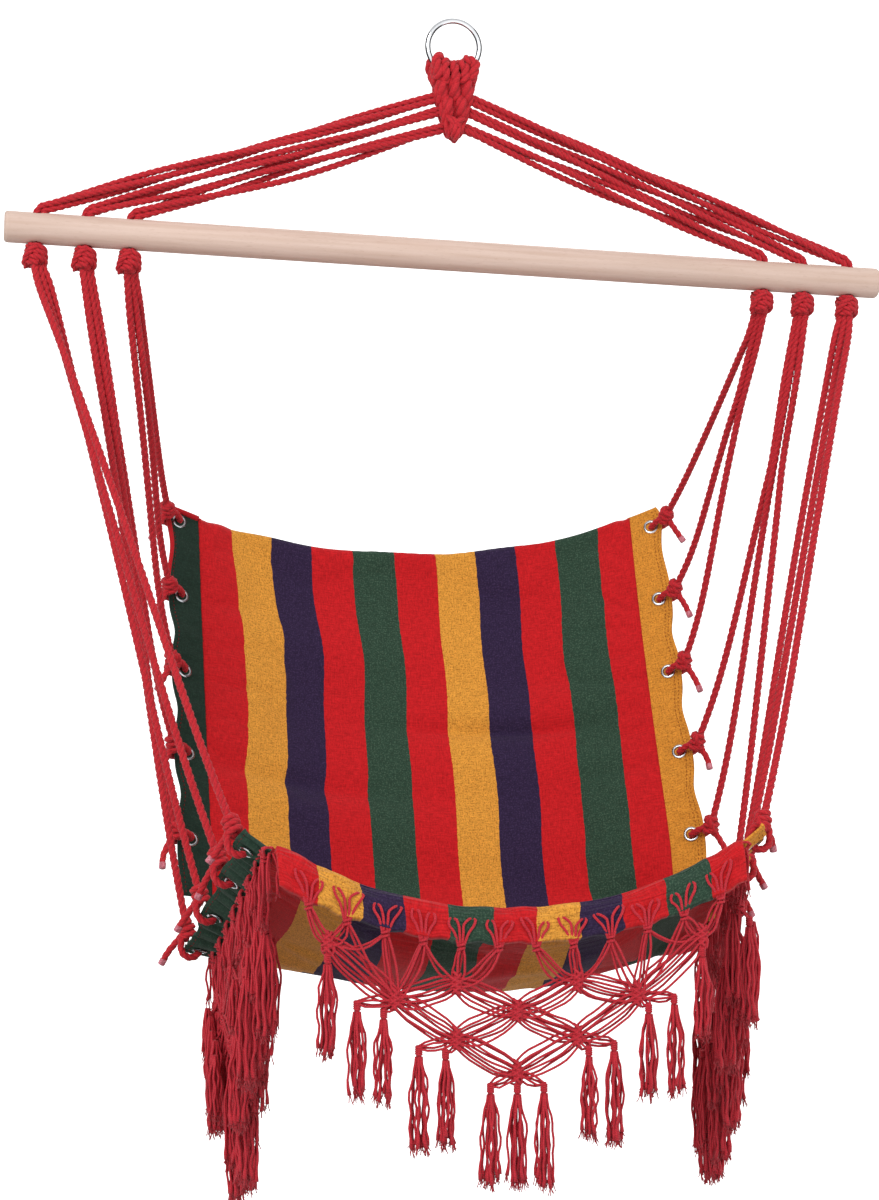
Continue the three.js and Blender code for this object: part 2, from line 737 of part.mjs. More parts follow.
// Which stopper knot each rope hangs from, and its order there from rear to front
const backKnots = [[2, 1], [2, 0], [2, -1], [1, 1], [1, 0]];
const seatKnots = [[1, -1], [0, 1], [0, 0], [0, -1]];
for (const [label, side] of sides) {
  backEyeletStations.forEach((station, i) => {
    addPiece(`back_eyelet_${label}_${i + 1}`, eyeletGeometry(side, station), steel);
    addPiece(`back_rope_${label}_${i + 1}`, hangingRopeGeometry(side, station, ...backKnots[i]), crimson);
  });
  seatEyeletStations.forEach((station, i) => {
    addPiece(`seat_eyelet_${label}_${i + 1}`, eyeletGeometry(side, station), steel);
    addPiece(`seat_rope_${label}_${i + 1}`, hangingRopeGeometry(side, station, ...seatKnots[i]), crimson);
  });
}

addPiece('front_fringe', frontFringeGeometry(), crimson);
for (const [label, side] of sides) {
  addPiece(`side_fringe_${label}`, sideFringeGeometry(side), crimson);
}

export default group;
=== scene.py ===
"""Hammock chair: a striped, lightly padded sling roped to a wooden spreader bar under a steel ring.

Metres, +Z up, the sitter faces -Y, and the origin is where the hanging ring bears.
Every class below is one sub-assembly of the chair: it holds its sizes, builds its meshes and
dresses them.
"""

import logging
import math
import random
from dataclasses import dataclass, field
from enum import Enum
from typing import Callable, Iterable, Sequence

import bmesh
import bpy
import numpy as np
from mathutils import Matrix, Vector


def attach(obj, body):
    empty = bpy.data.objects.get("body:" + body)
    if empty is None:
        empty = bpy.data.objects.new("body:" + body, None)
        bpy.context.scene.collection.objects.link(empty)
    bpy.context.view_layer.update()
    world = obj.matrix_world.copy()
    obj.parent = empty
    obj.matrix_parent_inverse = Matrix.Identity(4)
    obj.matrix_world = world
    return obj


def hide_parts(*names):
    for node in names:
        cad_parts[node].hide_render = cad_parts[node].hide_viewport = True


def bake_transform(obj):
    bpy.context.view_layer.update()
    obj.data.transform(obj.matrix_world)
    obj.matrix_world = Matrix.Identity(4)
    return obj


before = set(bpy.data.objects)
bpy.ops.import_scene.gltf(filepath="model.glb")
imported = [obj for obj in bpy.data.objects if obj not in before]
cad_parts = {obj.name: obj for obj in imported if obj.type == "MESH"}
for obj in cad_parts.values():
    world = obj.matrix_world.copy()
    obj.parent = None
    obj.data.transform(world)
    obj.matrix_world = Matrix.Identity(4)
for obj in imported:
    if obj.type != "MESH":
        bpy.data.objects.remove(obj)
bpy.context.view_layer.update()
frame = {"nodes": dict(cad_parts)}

log = logging.getLogger("hammock_chair")
Array = np.ndarray
Piece = bpy.types.Object
Material = bpy.types.Material
Tree = bpy.types.NodeTree
Node = bpy.types.Node
Socket = bpy.types.NodeSocket
Colour = tuple[float, float, float, float]
Rows = tuple[tuple[float, ...], ...]
Arrays = tuple[Array, ...]
Sockets = Sequence[Socket]
MM = 0.001


class Side(Enum):
    """The side of the chair as the viewer sees it from the front."""

    LEFT = -1
    RIGHT = 1

    @property
    def label(self) -> str:
        """The side's word in piece names."""
        return self.name.lower()


class StripKind(Enum):
    """Which of the two lengths of side strip."""

    BACK = "back"
    SEAT = "seat"


def vec(*values: float) -> Array:
    """Numbers as one vector."""
    return np.array(values, float)


def unit(v: Array) -> Array:
    """The vector or vectors with a length of one."""
    return v / np.maximum(np.linalg.norm(v, axis=-1, keepdims=True), 1e-12)


def smoothstep(t: Array, low: float, high: float) -> Array:
    """A smooth rise from 0 at low to 1 at high."""
    s = np.clip((np.asarray(t, float) - low) / (high - low), 0, 1)
    return s * s * (3 - 2 * s)


def root_step(a: Array, b: Array) -> Array:
    """The square root of the distance between places, one a row."""
    return np.sqrt(np.maximum(np.linalg.norm(b - a, axis=1, keepdims=True), 1e-12))


def through(points: Array, t: Array) -> Array:
    """A centripetal line through points.

    Args:
        points: the places it goes through, one a row.
        t: where to read it, in whole steps from point to point.

    Returns:
        One place a row.
    """
    p = np.vstack([2 * points[0] - points[1], points, 2 * points[-1] - points[-2]])
    t = np.clip(np.atleast_1d(np.asarray(t, float)), 0, len(points) - 1)
    i = np.minimum(t.astype(int), len(points) - 2)
    w = (t - i)[:, None]
    a, b, c, d = p[i], p[i + 1], p[i + 2], p[i + 3]
    d0, d1, d2 = root_step(a, b), root_step(b, c), root_step(c, d)
    m1 = ((b - a) / d0 - (c - a) / (d0 + d1) + (c - b) / d1) * d1
    m2 = ((c - b) / d1 - (d - b) / (d1 + d2) + (d - c) / d2) * d1
    return b + m1 * w + (3 * (c - b) - 2 * m1 - m2) * w**2 + (2 * (b - c) + m1 + m2) * w**3


def even(points: Array, spacing: float) -> Array:
    """The same line with its points at even distances."""
    gaps = np.linalg.norm(np.diff(points, axis=0), axis=1)
    at = np.concatenate([[0], np.cumsum(gaps)])
    count = max(2, int(round(at[-1] / spacing)) + 1)
    new = np.linspace(0, at[-1], count)
    return np.stack([np.interp(new, at, points[:, k]) for k in range(3)], axis=1)


def bent(controls: Sequence[Array], spacing: float) -> Array:
    """A smooth line through a few places, with even points."""
    places = np.array(controls, float)
    return even(through(places, np.linspace(0, len(places) - 1, 12 * len(places))), spacing)


def frames_along(points: Array) -> Arrays:
    """Directions along a line that don't spin about it."""
    tangents = unit(np.gradient(points, axis=0))
    normals = np.zeros_like(points)
    first = vec(0, 0, 1) if abs(tangents[0][2]) < 0.9 else vec(1, 0, 0)
    n = unit(np.cross(tangents[0], first))
    for k, t in enumerate(tangents):
        n = unit(n - t * (n @ t))
        normals[k] = n
    return tangents, normals, np.cross(tangents, normals)


def put_mesh(name: str, verts: Array, faces: Iterable, uvs: Array | None = None) -> Piece:
    """A smooth mesh object at the origin, not yet riding on a body."""
    mesh = bpy.data.meshes.new(name)
    mesh.from_pydata(verts.tolist(), [], faces)
    if uvs is not None:
        layer = mesh.uv_layers.new(name="UVMap")
        layer.data.foreach_set("uv", np.asarray(uvs, np.float32).ravel())
    mesh.polygons.foreach_set("use_smooth", [True] * len(mesh.polygons))
    mesh.update()
    return put_object(name, mesh)


def put_object(name: str, data: object) -> Piece:
    """A new object, linked to the scene, that carries a mesh, a lamp or the camera."""
    obj = bpy.data.objects.new(name, data)
    bpy.context.scene.collection.objects.link(obj)
    return obj


@dataclass
class StrandMesh:
    """Collects swept strands, balls and stitches into one mesh."""

    verts: list[Array] = field(default_factory=list)
    faces: list[list[int]] = field(default_factory=list)
    uvs: list[tuple[float, float]] = field(default_factory=list)
    count: int = 0

    def tube(
        self,
        points: Array,
        radius: float | Array,
        sides: int = 6,
        pitch: float = 0.0,
        lobes: int = 3,
        groove: float = 0.24,
        closed: bool = False,
    ) -> None:
        """Sweeps one strand along a line.

        Args:
            points: its centreline.
            radius: one radius, or one for each point.
            sides: corners around it.
            pitch: length of one full turn of its laid yarns, or 0 for a plain strand.
            lobes: how many yarns it has.
            groove: how deep the valleys between yarns are, as a share of the radius.
            closed: whether the line's last point joins its first.
        """
        n = len(points)
        radius = np.broadcast_to(np.asarray(radius, float), (n,))
        if closed:
            ring = np.vstack([points[-1:], points, points[:1]])
            tangents, normals, binormals = (x[1:-1] for x in frames_along(ring))
        else:
            tangents, normals, binormals = frames_along(points)
        gaps = np.linalg.norm(np.diff(points, axis=0, append=points[:1]), axis=1)
        run = np.concatenate([[0], np.cumsum(gaps)])
        angles = 2 * np.pi * np.arange(sides) / sides
        shape = np.ones(sides)
        turn = np.zeros(n)
        if pitch:
            shape = 1 - groove * (1 - np.abs(np.cos(lobes * angles / 2 + 0.26)))
            turn = 2 * np.pi * run[:n] / pitch
            if closed:
                whole = max(1, round(run[n] / pitch * lobes)) / lobes
                offset = math.atan2(normals[-1] @ binormals[0], normals[-1] @ normals[0])
                turn = (2 * np.pi * whole + offset) * run[:n] / run[n]
        around = angles[None, :] + turn[:, None]
        reach = radius[:, None] * shape[None, :]
        ring_points = (
            points[:, None, :]
            + (reach * np.cos(around))[..., None] * normals[:, None, :]
            + (reach * np.sin(around))[..., None] * binormals[:, None, :]
        )
        self.skin(ring_points, run / (pitch or 0.02), closed)

    def skin(self, rings: Array, lengths: Array, closed: bool) -> None:
        """Adds a strand's rings of corners and the faces between them.

        Args:
            rings: the corners, by ring and by place in the ring.
            lengths: how far along the strand each ring is, as its map has it.
            closed: whether the last ring joins the first, and otherwise both ends get a face.
        """
        n, sides = rings.shape[:2]
        base = self.count
        self.verts.append(rings.reshape(-1, 3))
        self.count += n * sides
        for i in range(n if closed else n - 1):
            a, b = base + i * sides, base + ((i + 1) % n) * sides
            v0, v1 = lengths[i], lengths[i + 1]
            for j in range(sides):
                k = (j + 1) % sides
                self.faces.append([a + j, a + k, b + k, b + j])
                u0, u1 = j / sides, (j + 1) / sides
                self.uvs += [(u0, v0), (u1, v0), (u1, v1), (u0, v1)]
        if not closed:
            for start, order in ((base, -1), (base + (n - 1) * sides, 1)):
                self.faces.append([start + j for j in range(sides)][::order])
                self.uvs += [(0.5, 0.0)] * sides

    def bead(self, centre: Array, along: Array, up: Array, size: tuple[float, float, float]) -> None:
        """A small oval bead, such as a stitch.

        Args:
            centre: its middle.
            along: the way it points.
            up: the way out of the cloth.
            size: its half length, half width and half height.
        """
        across = np.cross(up, along)
        base, sides = self.count, 6
        points = [centre - along * size[0]]
        for far, wide in ((-0.75, 0.7), (0, 1.0), (0.75, 0.7)):
            for j in range(sides):
                a = 2 * math.pi * j / sides
                points.append(
                    centre + along * size[0] * far
                    + across * size[1] * wide * math.cos(a) + up * size[2] * wide * math.sin(a)
                )
        points.append(centre + along * size[0])
        self.verts.append(np.array(points))
        self.count += len(points)
        tip = base + len(points) - 1
        for j in range(sides):
            k = (j + 1) % sides
            self.faces.append([base, base + 1 + k, base + 1 + j])
            for row in range(2):
                a = base + 1 + row * sides
                self.faces.append([a + j, a + k, a + sides + k, a + sides + j])
                self.uvs += [(0.5, 0.5)] * 4
            a = base + 1 + 2 * sides
            self.faces.append([a + j, a + k, tip])
            self.uvs += [(0.5, 0.5)] * 6

    def build(self, name: str) -> Piece:
        """Makes the collected strands one mesh object."""
        return face_outwards(put_mesh(name, np.vstack(self.verts), self.faces, np.array(self.uvs)))


def face_outwards(obj: Piece) -> Piece:
    """Turns every face of a closed mesh outwards, and gives the same piece."""
    bm = bmesh.new()
    bm.from_mesh(obj.data)
    bmesh.ops.recalc_face_normals(bm, faces=bm.faces)
    bm.to_mesh(obj.data)
    bm.free()
    obj.data.update()
    return obj


def quads(rows: int, cols: int) -> Array:
    """The faces between a grid's rows and columns of places, as four corner numbers a row."""
    a = (np.arange(rows - 1)[:, None] * cols + np.arange(cols - 1)).ravel()
    return np.stack([a, a + cols, a + cols + 1, a + 1], axis=1)


def thick_sheet(name: str, grid: Array, thickness: Array, uv: Array) -> Piece:
    """A closed sheet around a grid of places.

    Args:
        name: the piece's name.
        grid: places by row and column.
        thickness: full thickness at each place.
        uv: the pattern's place at each place.

    Returns:
        The new object.
    """
    rows, cols = grid.shape[:2]
    normal = unit(np.cross(np.gradient(grid, axis=0), np.gradient(grid, axis=1)))
    half = normal * thickness[..., None] / 2
    verts = np.vstack([(grid + half).reshape(-1, 3), (grid - half).reshape(-1, 3)])
    layer = rows * cols
    top = quads(rows, cols)
    bottom = top[:, ::-1] + layer
    edge = [
        *range(cols), *(r * cols + cols - 1 for r in range(1, rows)),
        *((rows - 1) * cols + c for c in range(cols - 2, -1, -1)),
        *(r * cols for r in range(rows - 2, 0, -1)),
    ]
    rim = [[p, q, q + layer, p + layer] for p, q in zip(edge, edge[1:] + edge[:1])]
    faces = top.tolist() + bottom.tolist() + rim
    flat = np.vstack([uv.reshape(-1, 2)] * 2)
    corners = np.array([c for f in faces for c in f])
    return face_outwards(put_mesh(name, verts, faces, flat[corners]))


def linear(value: int) -> float:
    """One of a colour's three numbers, from 0 to 255, made linear."""
    share = value / 255
    return share / 12.92 if share <= 0.04045 else ((share + 0.055) / 1.055) ** 2.4


def srgb(red: int, green: int, blue: int) -> Colour:
    """A colour as the eye reads it, made linear."""
    return linear(red), linear(green), linear(blue), 1.0


@dataclass(frozen=True)
class Wiring:
    """Adds nodes to one tree, each joined to what feeds it."""

    tree: Tree

    def fill(self, node: Node, feeds: dict[str | int, object]) -> None:
        """Sets a node's inputs."""
        for label, value in feeds.items():
            if isinstance(value, Socket):
                self.tree.links.new(value, node.inputs[label])
            else:
                node.inputs[label].default_value = value

    def add(self, kind: str, feeds: dict[str | int, object] | None = None, **settings: object) -> Node:
        """A new node."""
        node = self.tree.nodes.new("ShaderNode" + kind)
        for key, value in settings.items():
            setattr(node, key, value)
        self.fill(node, feeds or {})
        return node

    def math(self, operation: str, *feeds: float | Socket) -> Socket:
        """One sum of one to three numbers."""
        return self.add("Math", dict(enumerate(feeds)), operation=operation).outputs[0]

    def scaled(self, vector: Socket, factor: Socket) -> Socket:
        """A colour or a place times a number."""
        return self.add("VectorMath", {0: vector, "Scale": factor}, operation="SCALE").outputs[0]

    def ranged(
        self, value: Socket, low: float, high: float, to_low: float = 0.0, to_high: float = 1.0,
        kind: str = "LINEAR",
    ) -> Socket:
        """A number moved from the range low to high to another, and kept inside it."""
        feeds = {0: value, "From Min": low, "From Max": high, "To Min": to_low, "To Max": to_high}
        return self.add("MapRange", feeds, interpolation_type=kind).outputs[0]

    def stretched(self, place: Socket, scale: tuple[float, float, float]) -> Socket:
        """A pattern's place with its three numbers scaled."""
        return self.add("Mapping", {0: place, "Scale": scale}).outputs[0]

    def noise(self, place: Socket, scale: float | Socket, detail: float) -> Socket:
        """A cloudy pattern."""
        return self.add("TexNoise", {0: place, "Scale": scale, "Detail": detail}).outputs[0]

    def mixed(self, share: Socket, first: object, second: object) -> Socket:
        """The first colour, with a share of the second over it."""
        return self.add("Mix", {0: share, 6: first, 7: second}, data_type="RGBA").outputs[2]

    def split(self, place: Socket) -> Sockets:
        """A place's three numbers, by name."""
        return self.add("SeparateXYZ", {0: place}).outputs

    def bump(self, height: Socket, strength: float, depth: float) -> Node:
        """A node that turns heights into relief."""
        return self.add("Bump", {"Height": height, "Strength": strength, "Distance": depth})


def new_material(name: str) -> tuple[Material, Wiring, Node]:
    """A new material, the wiring of its nodes, and its Principled shader."""
    material = bpy.data.materials.new(name)
    material.use_nodes = True
    tree = material.node_tree
    return material, Wiring(tree), next(n for n in tree.nodes if n.type == "BSDF_PRINCIPLED")


@dataclass(frozen=True)
class Effect:
    """A node group that several finishes share: it is built once and used with each one's values."""

    name: str
    inputs: tuple[tuple[str, float | Colour], ...]
    outputs: tuple[str, ...] = ("Color", "Height", "Roughness")

    def draw(self, pen: Wiring, given: Sockets) -> Sockets:
        """Adds the effect's nodes.

        Args:
            pen: the group's wiring.
            given: what a material gives the group, by name.

        Returns:
            What the group gives back, in the order of its outputs.
        """
        raise NotImplementedError

    def group(self) -> Tree:
        """The effect's node group."""
        return bpy.data.node_groups.get(self.name) or self.make()

    def make(self) -> Tree:
        """Builds the node group, with its sockets."""
        tree = bpy.data.node_groups.new(self.name, "ShaderNodeTree")
        for label, value in self.inputs:
            kind = "NodeSocketFloat" if isinstance(value, float) else "NodeSocketColor"
            socket = tree.interface.new_socket(name=label, in_out="INPUT", socket_type=kind)
            socket.default_value = value
        for label in self.outputs:
            kind = "NodeSocketColor" if label == "Color" else "NodeSocketFloat"
            tree.interface.new_socket(name=label, in_out="OUTPUT", socket_type=kind)
        given, out = tree.nodes.new("NodeGroupInput"), tree.nodes.new("NodeGroupOutput")
        for label, socket in zip(self.outputs, self.draw(Wiring(tree), given.outputs)):
            tree.links.new(socket, out.inputs[label])
        return tree


class Weave(Effect):
    """Plain woven cotton: threads both ways, slubs and specks, read from the cloth's own UV map."""

    def draw(self, pen: Wiring, given: Sockets) -> Sockets:
        """Adds the threads and gives the cloth's colour, height and roughness, as for any effect."""
        place = pen.add("TexCoord").outputs["UV"]
        parts = pen.split(pen.scaled(place, given["Thread Scale"]))
        threads = pen.math("MULTIPLY", pen.math("SINE", parts["X"]), pen.math("SINE", parts["Y"]))
        slubs = [pen.noise(pen.stretched(place, scale), 1.0, 2.0) for scale in ((110, 640, 1), (640, 120, 1))]
        both = pen.math("ADD", *slubs)
        height = pen.math("MULTIPLY_ADD", threads, 0.35, both)
        speckle = pen.ranged(pen.noise(place, 620.0, 2.0), 0.5, 0.64, kind="SMOOTHSTEP")
        amount = pen.math("MULTIPLY", speckle, given["Speck Amount"])
        specked = pen.mixed(amount, given["Color"], given["Speck"])
        shaded = pen.scaled(specked, pen.ranged(both, 0.7, 1.3, 0.76, 1.18))
        return shaded, height, pen.ranged(both, 0.6, 1.5, 0.95, 0.8)


class LaidYarn(Effect):
    """Laid rope or cord: fine fibres that run with the yarns, and painted shade that darkens the valleys
    between them.
    """

    def draw(self, pen: Wiring, given: Sockets) -> Sockets:
        """Adds the fibres and gives the yarn's colour, height and roughness, as for any effect."""
        place = pen.add("TexCoord").outputs
        parts = pen.split(place["UV"])
        lines = pen.math("MULTIPLY_ADD", parts["Y"], -1.6, parts["X"])
        many = pen.math("MULTIPLY", lines, given["Fibres"])
        stretched = pen.add("CombineXYZ", {"X": many, "Y": parts["Y"]}).outputs[0]
        blend = pen.math("ADD", pen.noise(stretched, 1.4, 3.0), pen.noise(place["Object"], 700.0, 2.0))
        tint = pen.mixed(pen.ranged(blend, 0.7, 1.35), given["Color"], given["Worn"])
        # Painted shade: the colour is darkened to 0.6 of itself in the valleys between the yarns, where the
        # grooves would be shaded.
        turned = pen.math("MULTIPLY", parts["Y"], given["Twist"])
        around = pen.math("MULTIPLY_ADD", parts["X"], given["Yarns"], turned)
        ridge = pen.math("COSINE", pen.math("MULTIPLY_ADD", around, math.pi, 0.26))
        valley_shade = pen.ranged(pen.math("ABSOLUTE", ridge), 0.0, 0.55, 0.6, 1.0)
        return pen.scaled(tint, valley_shade), blend, pen.ranged(blend, 0.7, 1.35, 0.85, 0.65)


class HandledMetal(Effect):
    """Handled metal: fine scratches and a little dulling."""

    def draw(self, pen: Wiring, given: Sockets) -> Sockets:
        """Adds the scratches and gives the metal's roughness and height."""
        place = pen.add("TexCoord").outputs["Object"]
        noise = pen.noise(pen.stretched(place, (1, 1, 9)), given["Scale"], 4.0)
        return pen.math("MULTIPLY_ADD", noise, 0.22, given["Roughness"]), noise


GREY = (0.5, 0.5, 0.5, 1.0)
WEAVE = Weave(
    "cotton_weave", (("Color", GREY), ("Speck", GREY), ("Speck Amount", 0.3), ("Thread Scale", 7000.0))
)
LAID_YARN = LaidYarn(
    "laid_yarn", (("Color", GREY), ("Worn", GREY), ("Fibres", 18.0), ("Twist", 0.0), ("Yarns", 3.0))
)
HANDLED_METAL = HandledMetal("handled_metal", (("Roughness", 0.15), ("Scale", 90.0)), ("Roughness", "Height"))


@dataclass(frozen=True)
class Finish:
    """What every finish has: a name, the record's material slot and a material."""

    name: str
    slot: str

    def relief(self, pen: Wiring, shader: Node, height: Socket, strength: float, depth: float) -> Node:
        """Lets a height drive the shader's normal, and gives the bump between them."""
        bump = pen.bump(height, strength, depth)
        pen.fill(shader, {"Normal": bump.outputs["Normal"]})
        return bump

    def make(self) -> Material:
        """The material of this finish."""
        raise NotImplementedError

    def material(self) -> Material:
        """The material of this finish, built once."""
        return bpy.data.materials.get(self.name) or self.make()

    def dress(self, piece: Piece, body: str = "", node: str = "") -> Piece:
        """Gives a piece this finish's material, hides the part that it replaces and attaches it to its body.
        """
        piece.data.materials.clear()
        piece.data.materials.append(self.material())
        if node:
            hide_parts(node)
        if body:
            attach(piece, body)
        return piece


class FibreFinish(Finish):
    """What rope and cloth share: a soft sheen over a fine relief."""

    sheen, sheen_roughness, gloss, strength, depth = 0.05, 0.5, 0.15, 0.4, 0.0004

    def spin(self, pen: Wiring, shader: Node, effect: Effect, feeds: dict[str, object]) -> Node:
        """Joins a fibre effect to the shader."""
        fibres = pen.add("Group", node_tree=effect.group())
        pen.fill(fibres, feeds)
        pen.fill(shader, {
            "Base Color": fibres.outputs["Color"], "Roughness": fibres.outputs["Roughness"],
            "Sheen Weight": self.sheen, "Sheen Roughness": self.sheen_roughness,
            "Specular IOR Level": self.gloss,
        })
        return self.relief(pen, shader, fibres.outputs["Height"], self.strength, self.depth)


@dataclass(frozen=True)
class RopeFinish(FibreFinish):
    """Crimson laid rope or thin cord."""

    sheen, sheen_roughness, gloss, strength, depth = 0.1, 0.45, 0.25, 0.55, 0.0006
    colour: Colour = srgb(162, 14, 30)
    worn: Colour = srgb(206, 34, 44)
    fibres: float = 18.0
    twist: float = 0.0
    yarns: float = 3.0

    def make(self) -> Material:
        """Builds the rope's material."""
        material, pen, shader = new_material(self.name)
        self.spin(pen, shader, LAID_YARN, {
            "Color": self.colour, "Worn": self.worn, "Fibres": self.fibres,
            "Twist": self.twist, "Yarns": self.yarns,
        })
        return material


@dataclass(frozen=True)
class ClothFinish(FibreFinish):
    """Woven cotton in one colour."""

    colour: Colour = srgb(190, 24, 28)
    speck: Colour = srgb(150, 14, 20)
    amount: float = 0.25

    def make(self) -> Material:
        """Builds the cloth's material."""
        material, pen, shader = new_material(self.name)
        feeds = {"Color": self.colour, "Speck": self.speck, "Speck Amount": self.amount}
        self.spin(pen, shader, WEAVE, feeds)
        return material


@dataclass(frozen=True)
class StripedFinish(FibreFinish):
    """Woven cotton in stripes that run the length of the sling."""

    edges: tuple[float, ...] = (0, 0.08, 0.168, 0.26, 0.355, 0.45, 0.544, 0.637, 0.733, 0.828, 0.925)
    waver: float = 0.003
    fold_strength: float = 0.7
    fold_depth: float = 0.006
    fold_start: float = 0.72
    fold_full: float = 0.84

    def colours(self) -> list[tuple[Colour, Colour, float]]:
        """Each stripe from the viewer's left: its colour, its specks' colour, and how many it has."""
        red = (srgb(190, 22, 28), srgb(156, 10, 18), 0.5)
        mustard = (srgb(214, 148, 56), srgb(146, 84, 22), 0.62)
        navy = (srgb(40, 26, 56), srgb(74, 56, 92), 0.4)
        green = (srgb(38, 62, 48), srgb(84, 108, 88), 0.42)
        return [red, mustard, navy, red, green, red, mustard, navy, red, green, red]

    def ramp(self, pen: Wiring, across: Socket, choice: int) -> Socket:
        """One of the stripes' three values, in steps across the cloth.

        Args:
            pen: the material's wiring.
            across: the share across the cloth.
            choice: which of the three values.

        Returns:
            That value, as a colour.
        """
        node = pen.add("ValToRGB", {0: across})
        node.color_ramp.interpolation = "CONSTANT"
        elements = node.color_ramp.elements
        for k, (edge, stripe) in enumerate(zip(self.edges, self.colours())):
            element = elements[k] if k < 2 else elements.new(edge)
            element.position = edge
            value = stripe[choice]
            element.color = value if isinstance(value, tuple) else (value, value, value, 1)
        return node.outputs["Color"]

    def make(self) -> Material:
        """Builds the striped cloth's material."""
        material, pen, shader = new_material(self.name)
        place = pen.add("UVMap", uv_map="Stripes").outputs["UV"]
        parts = pen.split(place)
        across = pen.math("MULTIPLY_ADD", pen.noise(place, 160.0, 1.0), self.waver, parts["X"])
        labels = ("Color", "Speck", "Speck Amount")
        bump = self.spin(pen, shader, WEAVE, {
            label: self.ramp(pen, across, choice) for choice, label in enumerate(labels)
        })
        pen.fill(bump, {"Normal": self.crinkles(pen, place, parts["Y"])})
        return material

    def crinkles(self, pen: Wiring, place: Socket, down: Socket) -> Socket:
        """The relief of long fine folds, where the cloth is drawn together under the front hem."""
        folds = pen.noise(pen.stretched(place, (5, 130, 1)), 1.0, 1.5)
        height = pen.math("MULTIPLY", folds, pen.ranged(down, self.fold_start, self.fold_full))
        return pen.bump(height, self.fold_strength, self.fold_depth).outputs["Normal"]


@dataclass(frozen=True)
class MetalFinish(Finish):
    """Polished or plated steel."""

    colour: Colour = srgb(205, 207, 210)
    roughness: float = 0.08
    scale: float = 160.0

    def make(self) -> Material:
        """Builds the metal's material."""
        material, pen, shader = new_material(self.name)
        handled = pen.add("Group", node_tree=HANDLED_METAL.group())
        pen.fill(handled, {"Roughness": self.roughness, "Scale": self.scale})
        rough = handled.outputs["Roughness"]
        pen.fill(shader, {"Base Color": self.colour, "Metallic": 1.0, "Roughness": rough})
        self.relief(pen, shader, handled.outputs["Height"], 0.12, 0.0002)
        return material


@dataclass(frozen=True)
class BeechFinish(Finish):
    """Sanded beech with its long fine grain and small flecks."""

    tilt: float = 0.035
    deep: Colour = srgb(193, 165, 149)
    pale: Colour = srgb(208, 183, 170)
    fleck: Colour = srgb(160, 124, 102)

    def make(self) -> Material:
        """Builds the wood's material: its grain runs along the bar, in bands, flecks and broad shades."""
        material, pen, shader = new_material(self.name)
        place = pen.add("TexCoord").outputs["Object"]
        lie = pen.add("Mapping", {0: place, "Rotation": (0, -self.tilt, 0)}).outputs[0]
        bands, flecks, broad = (
            pen.noise(pen.stretched(lie, (along, 1, 1)), size, detail)
            for along, size, detail in ((0.04, 210.0, 5.0), (0.12, 1100.0, 1.0), (0.3, 9.0, 2.0))
        )
        ramp = pen.add("ValToRGB", {0: bands})
        elements = ramp.color_ramp.elements
        elements[0].position, elements[0].color = 0.3, self.deep
        elements[1].position, elements[1].color = 0.72, self.pale
        flecked = pen.mixed(pen.ranged(flecks, 0.62, 0.74, 0.0, 0.25), ramp.outputs["Color"], self.fleck)
        toned = pen.scaled(flecked, pen.ranged(broad, 0.3, 0.7, 0.95, 1.04))
        rough = pen.ranged(bands, 0.0, 1.0, 0.48, 0.66)
        pen.fill(shader, {"Base Color": toned, "Roughness": rough})
        self.relief(pen, shader, flecks, 0.2, 0.0003)
        return material


@dataclass(frozen=True)
class Finishes:
    """All the finishes of the chair."""

    ring: Finish = MetalFinish("polished_ring_steel", "ring_steel", roughness=0.05, scale=120.0)
    eyelet: Finish = MetalFinish("plated_eyelet_metal", "eyelet_metal", srgb(176, 178, 182), 0.16, 400.0)
    rope: Finish = RopeFinish("crimson_laid_rope", "rope")
    tape: Finish = RopeFinish("taped_rope_end", "rope", srgb(170, 60, 80), srgb(214, 150, 160), 4.0)
    # The cord's tubes are plain: its twist and yarns only place the painted shade in its yarn valleys.
    cord: Finish = RopeFinish(
        "crimson_fringe_cord", "fringe_cord", srgb(168, 22, 38), srgb(204, 42, 56), 10.0, 9.0, 2.0
    )
    stripes: Finish = StripedFinish("striped_cotton", "striped_cloth")
    # Painted shade and light: one green cotton in two copies, the back strip's darkened because that strip is
    # turned away from the light, the seat strip's lighter because it faces up into it.
    green: Finish = ClothFinish("green_cotton", "green_cloth", srgb(25, 44, 35), srgb(48, 72, 58), 0.35)
    seat_green: Finish = ClothFinish(
        "painted_lit_green_cotton", "green_cloth", srgb(36, 58, 46), srgb(60, 86, 70), 0.35
    )
    mustard: Finish = ClothFinish(
        "mustard_cotton", "mustard_cloth", srgb(208, 138, 48), srgb(146, 84, 22), 0.62
    )
    edging: Finish = ClothFinish("red_edging", "striped_cloth", srgb(180, 24, 32), srgb(150, 14, 22), 0.2)
    thread: Finish = ClothFinish("sewing_thread", "mustard_cloth", srgb(150, 84, 24), srgb(120, 60, 14), 0.2)
    dark_thread: Finish = ClothFinish(
        "red_sewing_thread", "striped_cloth", srgb(120, 10, 20), srgb(90, 6, 14), 0.2
    )
    wood: Finish = BeechFinish("sanded_beech", "bar_wood")


FINISH = Finishes()


def deselect() -> None:
    """Leaves nothing selected, so that the next operator acts on its own piece alone."""
    if bpy.context.mode != "OBJECT":
        bpy.ops.object.mode_set(mode="OBJECT")
    bpy.ops.object.select_all(action="DESELECT")


def pick(obj: Piece) -> None:
    """Selects one object alone, and makes it the active one."""
    deselect()
    obj.select_set(True)
    bpy.context.view_layer.objects.active = obj


def edit(obj: Piece) -> None:
    """Opens one object alone in edit mode."""
    pick(obj)
    bpy.ops.object.mode_set(mode="EDIT")


